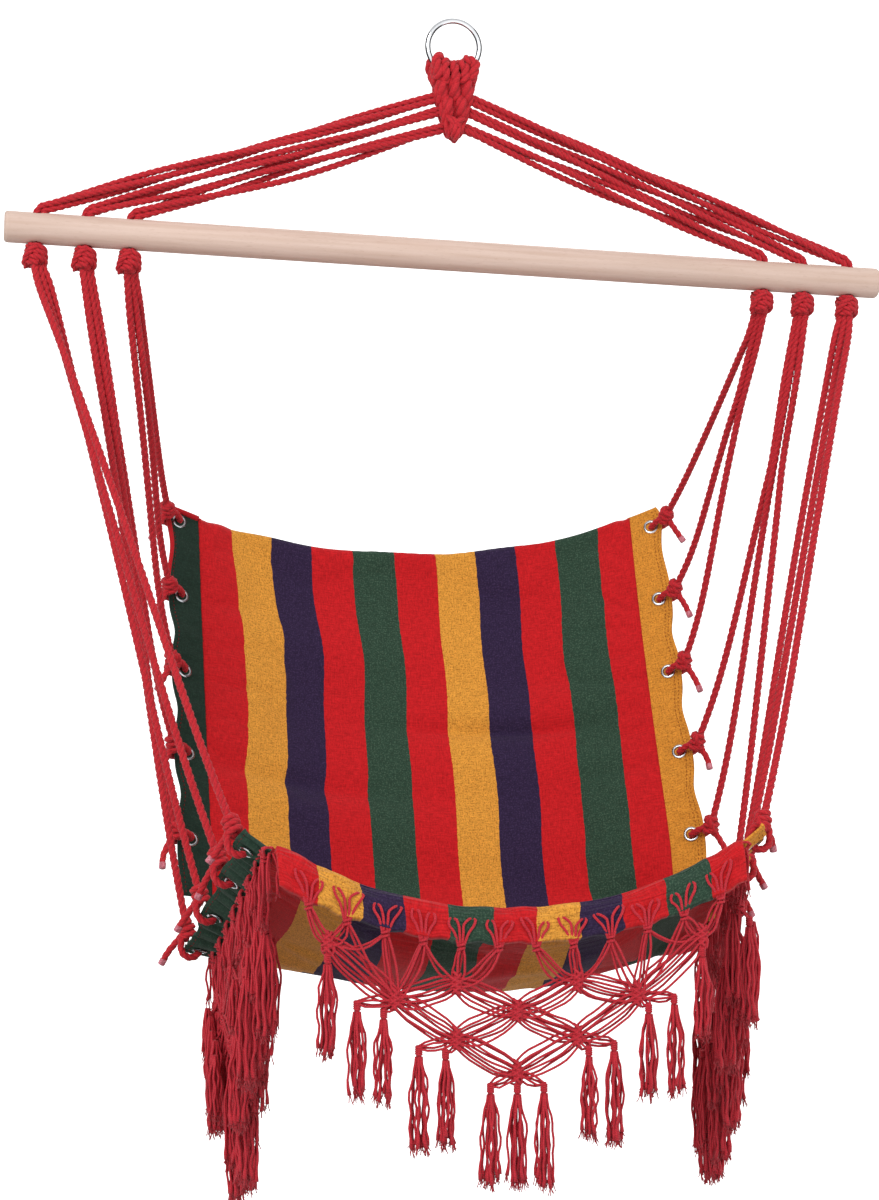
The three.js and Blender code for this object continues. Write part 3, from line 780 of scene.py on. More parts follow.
def settle(obj: Piece) -> None:
    """Puts a finished piece's place into its mesh, so that its object sits at the origin."""
    pick(obj)
    bpy.ops.object.transform_apply(location=True, rotation=True, scale=True)


def smooth_by_angle(obj: Piece, degrees: float) -> None:
    """Smooths a piece except over its sharp edges."""
    pick(obj)
    bpy.ops.object.shade_smooth_by_angle(angle=math.radians(degrees))


def spun(
    name: str, profile: Sequence[tuple[float, float]], steps: int, merge: float, closed: bool
) -> Piece:
    """A profile turned about the upright axis.

    Args:
        name: the piece's name.
        profile: its radii and heights.
        steps: how many faces go round.
        merge: how near to each other places are that become one.
        closed: whether the profile's last place joins its first.

    Returns:
        The new piece.
    """
    count = len(profile)
    mesh = bpy.data.meshes.new(name)
    edges = [(i, (i + 1) % count) for i in range(count if closed else count - 1)]
    mesh.from_pydata([(radius, 0, height) for radius, height in profile], edges, [])
    piece = put_object(name, mesh)
    edit(piece)
    bpy.ops.mesh.select_all(action="SELECT")
    bpy.ops.mesh.spin(steps=steps, angle=2 * math.pi, center=(0, 0, 0), axis=(0, 0, 1))
    bpy.ops.mesh.remove_doubles(threshold=merge)
    if closed:
        bpy.ops.mesh.normals_make_consistent(inside=False)
    bpy.ops.object.mode_set(mode="OBJECT")
    return piece


@dataclass
class Studio:
    """The camera, lights and pale surround. None of it is part of the chair.

    Each lamp has its name, place, width and power, and each card its name, place, length, its width
    as a share of that, and the place that it faces.
    """

    distance: float = 2.6
    azimuth: float = -10.0
    height: float = -0.68075
    sensor: float = 36.0
    focal_pixels: float = 2560.0
    frame_height: float = 1200.0
    horizon_drop: float = 94.0
    plumb_offset: float = 14.1
    far_clip: float = 60.0
    floor_level: float = -2.2
    floor_radius: float = 9.0
    floor_corner: float = 3.0
    floor_top: float = 7.0
    floor_glow: float = 0.6
    sky_strength: float = 0.86
    lamps: tuple[tuple, ...] = (
        ("key_lamp", (-2.2, -3.2, 1.4), 2.0, 84.0), ("side_lamp", (2.8, -2.0, 0.6), 2.0, 22.0),
        ("back_lamp", (0.6, 3.0, 1.8), 2.4, 34.0),
    )
    cards: tuple[tuple, ...] = (
        ("left_card", (-1.7, 0.3, 0.0), 3.4, 0.75, (0, 0, -0.02)),
        ("right_card", (1.7, -0.1, 0.0), 3.4, 0.85, (0, 0, -0.02)),
        ("back_card", (0.0, 1.6, -0.4), 3.8, 1.0, (0, 0, -0.02)),
        ("under_card", (0.0, -0.1, -2.0), 1.5, 1.0, (0, 0, 0.4)),
    )

    def camera(self) -> None:
        """Sets the camera level at the photograph's place, with a small shift for its framing."""
        data = bpy.data.cameras.new("chair_camera")
        data.sensor_width = self.sensor
        data.lens = data.sensor_width * self.focal_pixels / self.frame_height
        data.shift_x = -self.plumb_offset / self.frame_height
        data.shift_y = self.horizon_drop / self.frame_height
        data.clip_end = self.far_clip
        camera = put_object("chair_camera", data)
        turn = math.radians(self.azimuth)
        camera.location = math.sin(turn) * self.distance, -math.cos(turn) * self.distance, self.height
        camera.rotation_euler = (math.pi / 2, 0, turn)
        bpy.context.scene.camera = camera

    def lights(self) -> None:
        """Large soft lamps that face the middle of the chair."""
        for name, place, size, power in self.lamps:
            data = bpy.data.lights.new(name, "AREA")
            data.shape, data.size, data.energy = "DISK", size, power
            lamp = put_object(name, data)
            lamp.location = place
            aim = Vector((0, 0, self.height)) - Vector(place)
            lamp.rotation_euler = aim.to_track_quat("-Z", "Y").to_euler()

    def surround(self) -> None:
        """A pale floor that curves up all round, seen but lighting nothing."""
        start, corner = self.floor_radius - self.floor_corner, self.floor_corner
        curve = [
            (start + corner * math.sin(a), corner - corner * math.cos(a))
            for a in np.linspace(0.1, math.pi / 2, 14)
        ]
        profile = [(0.0, 0.0), (start, 0.0), *curve, (self.floor_radius, self.floor_top)]
        raised = [(radius, self.floor_level + height) for radius, height in profile]
        floor = spun("floor", raised, 72, 0.0005, False)
        floor.data.polygons.foreach_set("use_smooth", [True] * len(floor.data.polygons))
        material, pen, shader = new_material("pale_floor")
        pen.fill(shader, {
            "Base Color": (0.97, 0.97, 0.97, 1), "Roughness": 0.9,
            "Emission Color": (1, 1, 1, 1), "Emission Strength": self.floor_glow,
        })
        floor.visible_diffuse = False
        floor.data.materials.append(material)

    def dark_cards(self) -> None:
        """Cards that the camera doesn't see, for the metal to reflect. The lowest keeps light off."""
        material, pen, shader = new_material("dark_card")
        pen.fill(shader, {"Base Color": (0.01, 0.01, 0.01, 1), "Roughness": 1.0})
        for name, place, size, narrow, aim in self.cards:
            deselect()
            bpy.ops.mesh.primitive_plane_add(size=size, location=place)
            card = bpy.context.object
            card.name = name
            card.rotation_euler = (Vector(aim) - Vector(place)).to_track_quat("Z", "Y").to_euler()
            card.scale = (narrow, 1.0, 1.0)
            card.visible_camera = card.visible_shadow = False
            card.visible_diffuse = name == "under_card"
            card.data.materials.append(material)

    def sky(self) -> None:
        """An even white sky for soft fill."""
        world = bpy.data.worlds.new("soft_sky")
        world.use_nodes = True
        feeds = {"Color": (1, 1, 1, 1), "Strength": self.sky_strength}
        Wiring(world.node_tree).fill(world.node_tree.nodes["Background"], feeds)
        bpy.context.scene.world = world

    def build(self) -> None:
        """Makes the whole studio."""
        bpy.context.scene.view_settings.view_transform = "Standard"
        self.camera()
        self.surround()
        self.sky()
        self.dark_cards()
        self.lights()


@dataclass
class HangingRing:
    """The steel ring that the whole chair hangs from."""

    radius: float = 0.0265
    wire: float = 0.00275
    centre_z: float = -0.02375
    weld_width: float = 0.0022
    weld_swell: float = 1.06

    def build(self) -> list[Piece]:
        """Bends the ring, with its weld a little thicker, inside the knot."""
        deselect()
        bpy.ops.mesh.primitive_torus_add(
            major_segments=120, minor_segments=28, major_radius=self.radius,
            minor_radius=self.wire, rotation=(math.pi / 2, 0, 0), location=(0, 0, self.centre_z),
        )
        ring = bpy.context.object
        ring.name = "steel_ring"
        settle(ring)
        edit(ring)
        bpy.ops.mesh.select_all(action="DESELECT")
        bpy.ops.object.mode_set(mode="OBJECT")
        low = self.centre_z - self.radius * 0.985
        for vertex in ring.data.vertices:
            vertex.select = vertex.co.z < low and abs(vertex.co.x) < self.weld_width
        bpy.ops.object.mode_set(mode="EDIT")
        bpy.ops.transform.resize(value=(1.0, self.weld_swell, 1.0))
        bpy.ops.object.mode_set(mode="OBJECT")
        ring.data.polygons.foreach_set("use_smooth", [True] * len(ring.data.polygons))
        return [FINISH.ring.dress(ring, "ring", "hanging_ring")]


@dataclass
class HeadKnot:
    """Rope turned over the ring and worked down to a point, the same behind as in front.

    The outline has distances down and half widths, in metres. Humps and edges have the places
    across and down of both their ends and their rope's radius, in millimetres.
    """

    ring: HangingRing
    rope: float = 0.0055
    depth: float = 0.0125
    flat_share: float = 0.72
    turns: tuple[float, ...] = (-0.92, -0.5, -0.06, 0.36, 0.8)
    outline: Rows = (
        (0.018, 0.0235), (0.027, 0.0245), (0.042, 0.021), (0.056, 0.0175),
        (0.07, 0.0135), (0.084, 0.0095), (0.094, 0.004),
    )
    humps: Rows = (
        (-14.0, 30.0, -12.5, 56.0, 6.3), (-0.5, 31.0, -0.5, 55.5, 6.5), (13.0, 29.5, 11.8, 56.0, 6.3),
        (-7.6, 51.0, -6.6, 73.5, 5.9), (6.9, 51.0, 6.0, 73.5, 5.9),
        (-10.5, 71.0, 7.5, 86.0, 4.2), (10.0, 72.0, -6.5, 87.0, 4.0),
        (-2.0, 76.0, -1.0, 92.0, 4.4), (2.5, 82.0, 1.0, 94.5, 3.9),
    )
    edges: Rows = (
        (-19.5, 16.0, -19.0, 40.0, 5.4), (19.5, 13.0, 18.5, 40.0, 5.4),
        (-17.5, 37.0, -14.5, 60.0, 5.2), (17.2, 37.0, 14.0, 60.0, 5.2),
        (-13.5, 56.0, -9.5, 78.0, 4.8), (12.8, 56.0, 9.0, 78.0, 4.8),
        (-9.5, 74.0, -5.0, 91.0, 4.2), (8.8, 74.0, 4.8, 90.0, 4.2),
    )

    def half_width(self, down: float) -> float:
        """The knot's half width at a distance below the ring's centre."""
        rows = self.outline
        return float(np.interp(down, [r[0] for r in rows], [r[1] for r in rows]))

    def hump(self, knot: StrandMesh, row: tuple[float, ...], face: int, depth: float) -> None:
        """One stretch of doubled rope that rises out of the knot and goes under again.

        Args:
            knot: what the stretch is added to.
            row: its ends and its radius.
            face: -1 in front, 1 behind.
            depth: how far it stands out.
        """
        x0, d0, x1, d1, radius = (value * MM for value in row)
        t = np.linspace(0, 1, 17)
        x = x0 + (x1 - x0) * t
        down = d0 + (d1 - d0) * t
        rise = np.sin(np.pi * t) ** 0.6
        y = face * depth * (0.35 + 0.65 * rise) - face * radius * 0.75
        line = np.stack([x, y, self.ring.centre_z - down], axis=1)
        swell = radius * (0.72 + 0.28 * rise)
        knot.tube(line, swell, sides=18, pitch=0.036, groove=0.34)

    def over_ring(self, knot: StrandMesh) -> None:
        """Lays the turns of rope that hold the ring, side by side round its lower half."""
        reach = self.ring.wire + self.rope
        lean = vec(0.0016, 0, 0)
        for k, angle in enumerate(self.turns):
            out = vec(math.sin(angle), 0, -math.cos(angle))
            middle = vec(0, 0, self.ring.centre_z) + out * self.ring.radius
            foot = vec(middle[0] * 0.82, 0, self.ring.centre_z - 0.041 + 0.003 * abs(k - 2))
            over = -out * reach
            line = bent([
                foot + vec(0, -0.0075, 0), middle * 0.4 + foot * 0.6 + vec(0, -reach - 0.0022, 0) + lean,
                middle + vec(0, -reach - 0.0006, 0) + lean, middle + over * 0.72 + vec(0, -reach * 0.72, 0),
                middle + over, middle + over * 0.72 + vec(0, reach * 0.72, 0),
                middle + vec(0, reach + 0.0006, 0) - lean,
                middle * 0.4 + foot * 0.6 + vec(0, reach + 0.0022, 0) - lean, foot + vec(0, 0.0075, 0),
            ], 0.0016)
            knot.tube(line, self.rope, sides=15, pitch=0.026, groove=0.32)

    def build(self) -> list[Piece]:
        """Works the knot, over a core that fills it."""
        knot = StrandMesh()
        for row in self.humps:
            width = self.half_width((row[1] + row[3]) / 2 * MM)
            bulge = math.sqrt(max(0.2, 1 - (abs(row[0] + row[2]) / 2 * MM / width) ** 2))
            for face in (-1, 1):
                self.hump(knot, row, face, self.depth * (self.flat_share + 0.4 * bulge))
        for row in self.edges:
            for face in (-1, 1):
                self.hump(knot, row, face, self.depth * self.flat_share)
        self.over_ring(knot)
        rows = np.linspace(0.031, 0.091, 16)
        for shift in (-0.5, 0, 0.5):
            core = [vec(shift * self.half_width(d), 0, self.ring.centre_z - d) for d in rows]
            knot.tube(np.array(core), np.array([self.half_width(d) * 0.44 for d in rows]), sides=16)
        return [FINISH.rope.dress(knot.build("rope_head_knot"), "lashing", "head_knot")]


@dataclass
class SpreaderBar:
    """The beech dowel, a little out of level, with three holes near each end."""

    length: float = 0.9
    diameter: float = 0.031
    drop: float = 0.212
    tilt: float = 0.035
    hole: float = 0.014
    rounding: float = 0.0048
    insets: tuple[float, ...] = (0.032, 0.08, 0.124)
    ring_centre: float = -0.02375

    @property
    def centre(self) -> Array:
        """The middle of the bar's axis."""
        return vec(0, 0, self.ring_centre - self.drop)

    @property
    def along(self) -> Array:
        """The bar's direction, towards the viewer's right."""
        return vec(math.cos(self.tilt), 0, -math.sin(self.tilt))

    @property
    def up(self) -> Array:
        """The direction square to the bar, upwards."""
        return vec(math.sin(self.tilt), 0, math.cos(self.tilt))

    def place(self, along: float, up: float) -> Array:
        """A place measured along the bar and up from its axis."""
        return self.centre + self.along * along + self.up * up

    def hole_place(self, side: Side, index: int, up: float) -> Array:
        """A place in line with one of the holes."""
        return self.place(side.value * (self.length / 2 - self.insets[index]), up)

    def rounded(self, bar: Piece) -> None:
        """Rounds the edge of each end."""
        ends = [self.place(s * self.length / 2, 0) for s in (-1, 1)]
        edit(bar)
        bpy.ops.mesh.select_mode(type="EDGE")
        bpy.ops.mesh.select_all(action="DESELECT")
        bpy.ops.object.mode_set(mode="OBJECT")
        for edge in bar.data.edges:
            a, b = (np.array(bar.data.vertices[i].co) for i in edge.vertices)
            edge.select = any(
                abs((a - end) @ self.along) < 1e-4 and abs((b - end) @ self.along) < 1e-4 for end in ends
            )
        bpy.ops.object.mode_set(mode="EDIT")
        bpy.ops.mesh.bevel(offset=self.rounding, segments=6, profile=0.6, affect="EDGES")
        bpy.ops.object.mode_set(mode="OBJECT")

    def drilled(self, bar: Piece) -> None:
        """Drills the rope holes, one after the other."""
        for side in Side:
            for index in range(len(self.insets)):
                deselect()
                bpy.ops.mesh.primitive_cylinder_add(
                    vertices=32, radius=self.hole / 2, depth=self.diameter * 1.6,
                    rotation=(0, self.tilt, 0), location=tuple(self.hole_place(side, index, 0)),
                )
                drill = bpy.context.object
                cut = bar.modifiers.new("hole", "BOOLEAN")
                cut.operation, cut.solver, cut.object = "DIFFERENCE", "EXACT", drill
                pick(bar)
                bpy.ops.object.modifier_apply(modifier=cut.name)
                bpy.data.objects.remove(drill)

    def build(self) -> list[Piece]:
        """Turns, eases and drills the dowel."""
        deselect()
        bpy.ops.mesh.primitive_cylinder_add(
            vertices=72, radius=self.diameter / 2, depth=self.length,
            rotation=(0, math.pi / 2 + self.tilt, 0), location=tuple(self.centre),
        )
        bar = bpy.context.object
        bar.name = "beech_spreader_bar"
        settle(bar)
        self.rounded(bar)
        self.drilled(bar)
        smooth_by_angle(bar, 35)
        return [FINISH.wood.dress(bar, "bar", "spreader_bar")]


@dataclass
class RopeKnots:
    """The knots that the rope is tied in."""

    knot_turns: float = 3.25
    first_angle: float = 0.6
    knot_pitch: float = 0.022
    wrap_pitch: float = 0.02

    def wrapped(
        self, mesh: StrandMesh, centre: Array, axis: Array, wide: float, tall: float, rope: float
    ) -> None:
        """A round knot of several crossing turns.

        Args:
            mesh: what the knot is added to.
            centre: its middle.
            axis: the way the rope runs through it.
            wide: its half width.
            tall: its half height.
            rope: the rope's radius.
        """
        axis = unit(axis)
        side = unit(np.cross(axis, vec(0.3, 0.9, 0.1)))
        front = np.cross(axis, side)
        t = np.linspace(0, 1, 110)
        turn = 2 * np.pi * self.knot_turns * t + self.first_angle
        reach = (wide - rope) * (1 - 0.12 * (2 * t - 1) ** 2)
        line = (
            centre + side * (reach * np.cos(turn))[:, None] + front * (reach * np.sin(turn))[:, None]
            + axis * ((tall - rope) * (1 - 2 * t) + 0.0022 * np.sin(turn))[:, None]
        )
        mesh.tube(line, rope, sides=15, pitch=self.knot_pitch, groove=0.32)
        for face in (-1, 1):
            over = []
            for high, a, inset in (
                (0.86, -0.9, 1), (0.5, -0.45, 0.35), (0, 0, 0.2), (-0.5, 0.45, 0.35), (-0.86, 0.9, 1),
            ):
                angle = a + 0.55 * face
                out = side * math.sin(angle) + front * math.cos(angle)
                over.append(centre + axis * (tall * high) + out * face * (wide - rope * inset))
            mesh.tube(bent(over, 0.0018), rope * 0.95, sides=15, pitch=self.knot_pitch, groove=0.32)
        fill = [centre + axis * tall * k for k in (-0.9, -0.4, 0, 0.4, 0.9)]
        mesh.tube(np.array(fill), np.array([0.42, 0.62, 0.66, 0.62, 0.42]) * wide, sides=14)

    def wraps(
        self, mesh: StrandMesh, start: Array, end: Array, turns: float, reach: float, rope: float
    ) -> None:
        """Turns of rope laid side by side round a line.

        Args:
            mesh: what the turns are added to.
            start: where the line starts.
            end: where it ends.
            turns: how many turns go round it.
            reach: their radius.
            rope: the rope's radius.
        """
        axis = unit(end - start)
        side = unit(np.cross(axis, vec(0.31, 0.87, 0.22)))
        front = np.cross(axis, side)
        t = np.linspace(0, 1, int(26 * turns))
        angle = 2 * np.pi * turns * t
        tuck = np.minimum(1, np.minimum(t, 1 - t) * 9 + 0.35)
        line = (
            start + (end - start) * t[:, None]
            + side * (reach * tuck * np.cos(angle))[:, None] + front * (reach * tuck * np.sin(angle))[:, None]
        )
        mesh.tube(line, rope, sides=12, pitch=self.wrap_pitch, groove=0.26)


@dataclass
class Bridle:
    """Six bundles of three ropes, from the head knot through the bar into their stopper knots."""

    bar: SpreaderBar
    knots: RopeKnots = field(default_factory=RopeKnots)
    exits: tuple[float, ...] = (0.048, 0.062, 0.08)
    names: tuple[str, ...] = ("outer", "middle", "inner")
    rope: float = 0.0036
    knot_rope: float = 0.0035
    bend: float = 0.014
    spacing: float = 0.0022
    lay: float = 0.46
    stopper: float = 0.0126
    stopper_drop: float = 0.02805
    slack: tuple[float, ...] = (0.0035, 0.002, 0.005, 0.0015, 0.004, 0.003)

    def stopper_place(self, side: Side, index: int) -> Array:
        """The middle of a stopper knot."""
        return self.bar.hole_place(side, index, -self.stopper_drop)

    def route(self, side: Side, index: int) -> Array:
        """The middle line of one bundle.

        Args:
            side: the half of the bar that it goes to.
            index: its hole, from the bar's end inwards.

        Returns:
            The line's points, one a row, from the head knot down.
        """
        bar = self.bar
        leave = vec(side.value * 0.004, 0, bar.ring_centre - self.exits[index])
        mouth = bar.hole_place(side, index, bar.diameter / 2 + 0.0034)
        run = unit(mouth - leave)
        controls = [
            leave, leave + run * 0.12, leave + run * 0.24, mouth - run * self.bend,
            mouth - run * 0.0045 - bar.up * 0.0004, bar.hole_place(side, index, bar.diameter / 2 - 0.005),
            bar.hole_place(side, index, 0), self.stopper_place(side, index),
        ]
        return bent(controls, self.spacing)

    def strand(self, middle: Array, side: Side, index: int, k: int) -> Array:
        """One of a bundle's three ropes: laid slackly, so that they part a little on the way.

        Args:
            middle: the bundle's middle line.
            side: the half of the bar that it goes to.
            index: its hole, from the bar's end inwards.
            k: which of the three ropes.

        Returns:
            The rope's own line.
        """
        tangents, normals, binormals = frames_along(middle)
        run = np.linspace(0, len(middle) * self.spacing, len(middle))
        land = run[-1] - 0.055
        share = np.clip(run / land, 0, 1)
        loose = np.sin(np.pi * share)
        number = index * 2 + (side is Side.RIGHT)
        angle = 2 * np.pi * (run / self.lay + k / 3) + number * 0.9
        spread = 0.0029 + 0.0018 * smoothstep(run, 0.02, 0.2) * (1 - 0.65 * smoothstep(share, 0.72, 0.96))
        flat = 1 - 0.6 * np.exp(-(((run - land - 0.004) / 0.016) ** 2))
        up = np.cross(binormals, tangents)
        line = middle + up * (spread * np.cos(angle) * flat)[:, None]
        line = line + binormals * (spread * np.sin(angle))[:, None]
        line[:, 2] -= self.slack[number] * loose * (k == 1) - 0.0016 * loose * (k == 2)
        return line

    def build(self) -> list[Piece]:
        """Lays every bundle and ties its stopper knot."""
        pieces = []
        for side in Side:
            for index, name in enumerate(self.names):
                middle = self.route(side, index)
                bundle = StrandMesh()
                for k in range(3):
                    line = self.strand(middle, side, index, k)
                    bundle.tube(line, self.rope, sides=12, pitch=0.0225, groove=0.36)
                centre = self.stopper_place(side, index)
                tall = self.stopper * 0.94
                self.knots.wrapped(bundle, centre, self.bar.up, self.stopper, tall, self.knot_rope)
                piece = bundle.build(f"bridle_{side.label}_{name}")
                pieces.append(FINISH.rope.dress(piece, "bar", f"bridle_ropes_{side.label}_{name}"))
        return pieces


@dataclass(frozen=True)
class SlingForm:
    """The surface that the sling hangs in, read by a share across and a station down its length.

    Across is -1 and 1 at the side seams. Stations run from 0 at the back's top edge, over the
    crease at 5 and the front fold at 10, to the hem's lower edge at 11. The seam and the middle
    have rows of shares, back from the front edge and down from the top.
    """

    front: float = 0.3259
    rear: float = 0.2461
    top_z: float = -0.45975
    drop: float = 0.502
    width: float = 0.484
    hem_width: float = 0.426
    hem_height: float = 0.046
    sag_power: float = 2.2
    crease: float = 5.0
    fold: float = 10.0
    last: float = 11.0
    strip_width: float = 0.037
    eyelet_inset: float = 0.014
    seam: Rows = (
        (0.985, 0.031), (0.905, 0.244), (0.835, 0.404), (0.755, 0.575), (0.67, 0.746), (0.6, 0.938),
        (0.485, 0.948), (0.36, 0.886), (0.23, 0.813), (0.105, 0.746), (0.03, 0.711), (0, 0.772),
    )
    middle: Rows = (
        (1.02, 0.119), (0.965, 0.306), (0.905, 0.466), (0.825, 0.632), (0.735, 0.803), (0.64, 0.943),
        (0.51, 0.995), (0.36, 1), (0.2, 0.959), (0.085, 0.876), (0.024, 0.829), (0, 0.879),
    )

    def line(self, shares: Rows, station: Array) -> Array:
        """A fore-and-aft line of the sling, read at stations."""
        points = np.array([
            [0, -self.front + (self.front + self.rear) * back, self.top_z - self.drop * down]
            for back, down in shares
        ])
        return through(points, station)

    def place(self, across: Array, station: Array) -> Array:
        """Places on the middle of the cloth."""
        across, station = np.broadcast_arrays(np.atleast_1d(across).astype(float), station)
        out = np.abs(across)
        lift = np.where(out <= 1, out**self.sag_power, 1 + self.sag_power * (out - 1))[:, None]
        points = self.line(self.middle, station) * (1 - lift) + self.line(self.seam, station) * lift
        narrow = smoothstep(station, self.crease, self.fold)
        points[:, 0] = across * (self.width + (self.hem_width - self.width) * narrow) / 2
        return points

    def normal(self, across: Array, station: Array) -> Array:
        """The directions out of the cloth on the sitter's side."""
        across, station = np.broadcast_arrays(np.atleast_1d(across).astype(float), station)
        small = 0.01
        first = np.minimum(station, self.last - small)
        run = self.place(across, first + small) - self.place(across, np.maximum(first - small, 0))
        over = self.place(across + small, first) - self.place(across - small, first)
        return unit(np.cross(run, over))

    def past_seam(self, station: Array, distance: Array) -> Array:
        """How far across the cloth lies a place that is a distance past its seam."""
        step = np.linalg.norm(self.place(1.0, station) - self.place(2.0, station), axis=1)
        return 1 + distance / step

    def eyelet(self, side: Side, station: float) -> Arrays:
        """Where an eyelet sits."""
        across = side.value * self.past_seam(station, self.strip_width - self.eyelet_inset)
        edge = self.place(side.value * self.past_seam(station, self.strip_width), station)[0]
        centre, normal = self.place(across, station)[0], self.normal(across, station)[0]
        outward = edge - centre
        outward = unit(outward - normal * (outward @ normal))
        return centre, normal, outward, np.cross(normal, outward)


FORM = SlingForm()
BACK_EYELETS = (0.25, 1.0, 2.0, 3.0, 4.0)
SEAT_EYELETS = (6.0, 7.0, 8.0, 9.0)


@dataclass(frozen=True)
class ClothGrid:
    """The places that the sling's cloth is made from, by row and column."""

    across: Array
    station: Array
    places: Array
    flat: Array


@dataclass
class SlingCloth:
    """The striped and lightly padded cloth: back, seat and front hem, sewn as one length.

    A wave has its station and reach, its share across and reach to the sides, and its height.
    """

    columns: int = 120
    rows: int = 230
    hem_rows: int = 27
    thickness: float = 0.008
    edge_thickness: float = 0.0028
    soft_edge: float = 0.016
    seam_gap: float = 0.001
    growth: float = 0.014
    reach: float = 0.006
    steps: int = 24
    loop_pitch: float = 0.034
    stitches: int = 112
    stitch_station: float = 10.48
    waves: Rows = (
        (2.38, 0.1, 0.4, 0.5, -0.008), (2.12, 0.26, 0.45, 0.5, 0.006), (2.8, 0.34, 0.35, 0.6, 0.007),
        (3.1, 0.14, -0.5, 0.4, -0.0065), (3.5, 0.4, -0.3, 0.6, 0.007), (1.3, 0.4, -0.45, 0.5, 0.0065),
        (0.75, 0.3, 0.3, 0.5, -0.003), (4.2, 0.3, 0.3, 0.6, -0.005), (4.6, 0.3, -0.4, 0.5, 0.004),
        (5.8, 0.35, -0.3, 0.5, 0.005), (6.6, 0.4, 0.4, 0.5, -0.005), (7.6, 0.4, -0.2, 0.5, 0.004),
        (8.6, 0.35, 0.4, 0.5, 0.005), (9.3, 0.2, -0.4, 0.5, -0.004),
    )

    def drift(self, a: Array, s: Array) -> Array:
        """How far the stripes have slipped sideways, as a share of the width."""
        slip = 0.017 * np.exp(-(((s - 2.0) / 1.25) ** 2)) * (0.8 - 0.3 * a)
        slip += 0.003 * np.sin(2.1 * s + 2.5 * a) + 0.002 * np.sin(4.7 * s - 3 * a)
        return slip * (1 - np.clip(a, -1, 1) ** 4)

    def swell(self, a: Array, s: Array) -> Array:
        """How far the soft waves lift the cloth at each share and station."""
        total = np.zeros(a.shape[0])
        for at, wide, middle, spread, depth in self.waves:
            lean = at + 0.18 * (a - middle)
            total += depth * np.exp(-(((s - lean) / wide) ** 2)) * np.exp(-(((a - middle) / spread) ** 2))
        return total

    def grid(self) -> Arrays:
        """Lays the whole length of cloth, with its waves and the hem's gathers.

        Returns:
            Shares across, stations and places, by row and column.
        """
        across = np.sin(np.linspace(-1, 1, self.columns) * np.pi / 2 * 0.72)
        across = across / across[-1] * (1 - self.seam_gap)
        station = np.unique(np.concatenate([
            np.linspace(0, FORM.fold, self.rows - self.hem_rows + 1),
            np.linspace(FORM.fold, FORM.last, self.hem_rows),
        ]))
        shares, stations = np.meshgrid(across, station)
        low = 0.05 + 0.055 * shares**2 - 0.015 * shares + 0.012 * np.sin(11 * shares)
        stations = np.where(stations < 1, stations + low * (1 - stations) ** 2, stations)
        a, s = shares.ravel(), stations.ravel()
        flat, normal = FORM.place(a, s), FORM.normal(a, s)
        flat = flat + normal * (self.swell(a, s) * (1 - a**4))[:, None]
        hem = smoothstep(s, 10.5, 11.0)
        along = a * FORM.hem_width / 2
        pull = np.cos(2 * np.pi * along / self.loop_pitch + np.pi)
        flat[:, 2] -= 0.0022 * hem * (0.5 + 0.5 * pull)
        flat += normal * (0.0012 * hem * np.sin(along * 290 + 1.7 * np.sin(along * 61)))[:, None]
        crumple = np.exp(-(((s - 10.15) / 0.2) ** 2))
        flat += normal * (0.0016 * crumple * np.sin(along * 120 + 2.2 * np.sin(along * 33)))[:, None]
        return shares, stations, flat.reshape(*shares.shape, 3)

    def simulate(self, a: Array, s: Array, grid: Array) -> Array:
        """Lets the cloth, cut a little too large for its seams, pucker where it can.

        Args:
            a: shares across the cloth.
            s: stations down it.
            grid: its places, by row and column.

        Returns:
            The puckered places.
        """
        cloth = put_mesh("loose_cloth", grid.reshape(-1, 3), quads(*a.shape).tolist())
        pins = cloth.vertex_groups.new(name="sewn")
        held = (np.abs(a) > 0.985) | (s < 0.06) | (s > FORM.fold - 0.05) | (np.abs(s - FORM.crease) < 0.04)
        pins.add([int(k) for k in np.flatnonzero(held.ravel())], 1.0, "REPLACE")
        modifier = cloth.modifiers.new("sewn_cloth", "CLOTH")
        settings = modifier.settings
        settings.quality, settings.mass, settings.air_damping = 6, 0.35, 3.0
        settings.tension_stiffness = settings.compression_stiffness = 18
        settings.shear_stiffness, settings.bending_stiffness = 6, 0.35
        settings.vertex_group_mass = "sewn"
        settings.shrink_min = -self.growth
        settings.effector_weights.gravity = 0.0
        scene = bpy.context.scene
        modifier.point_cache.frame_start, modifier.point_cache.frame_end = 1, self.steps
        for number in range(1, self.steps + 1):
            scene.frame_set(number)
        graph = bpy.context.evaluated_depsgraph_get()
        result = cloth.evaluated_get(graph).to_mesh()
        moved = np.empty(len(result.vertices) * 3)
        result.vertices.foreach_get("co", moved)
        cloth.evaluated_get(graph).to_mesh_clear()
        bpy.data.objects.remove(cloth)
        scene.frame_set(1)
        shift = moved.reshape(grid.shape) - grid
        size = np.linalg.norm(shift, axis=2, keepdims=True)
        return grid + shift * np.minimum(1, self.reach / np.maximum(size, 1e-9))

    def lengths(self, grid: Array) -> Array:
        """Each place's distance across and down the cloth."""
        over = np.linalg.norm(np.diff(grid, axis=1), axis=2)
        down = np.linalg.norm(np.diff(grid, axis=0), axis=2)
        u = np.concatenate([np.zeros((grid.shape[0], 1)), np.cumsum(over, axis=1)], axis=1)
        middle = down[:, down.shape[1] // 2]
        v = np.concatenate([[0], np.cumsum(middle)])[:, None] + np.zeros(grid.shape[1])[None, :]
        return np.stack([u - u[:, -1:] / 2, v], axis=2)

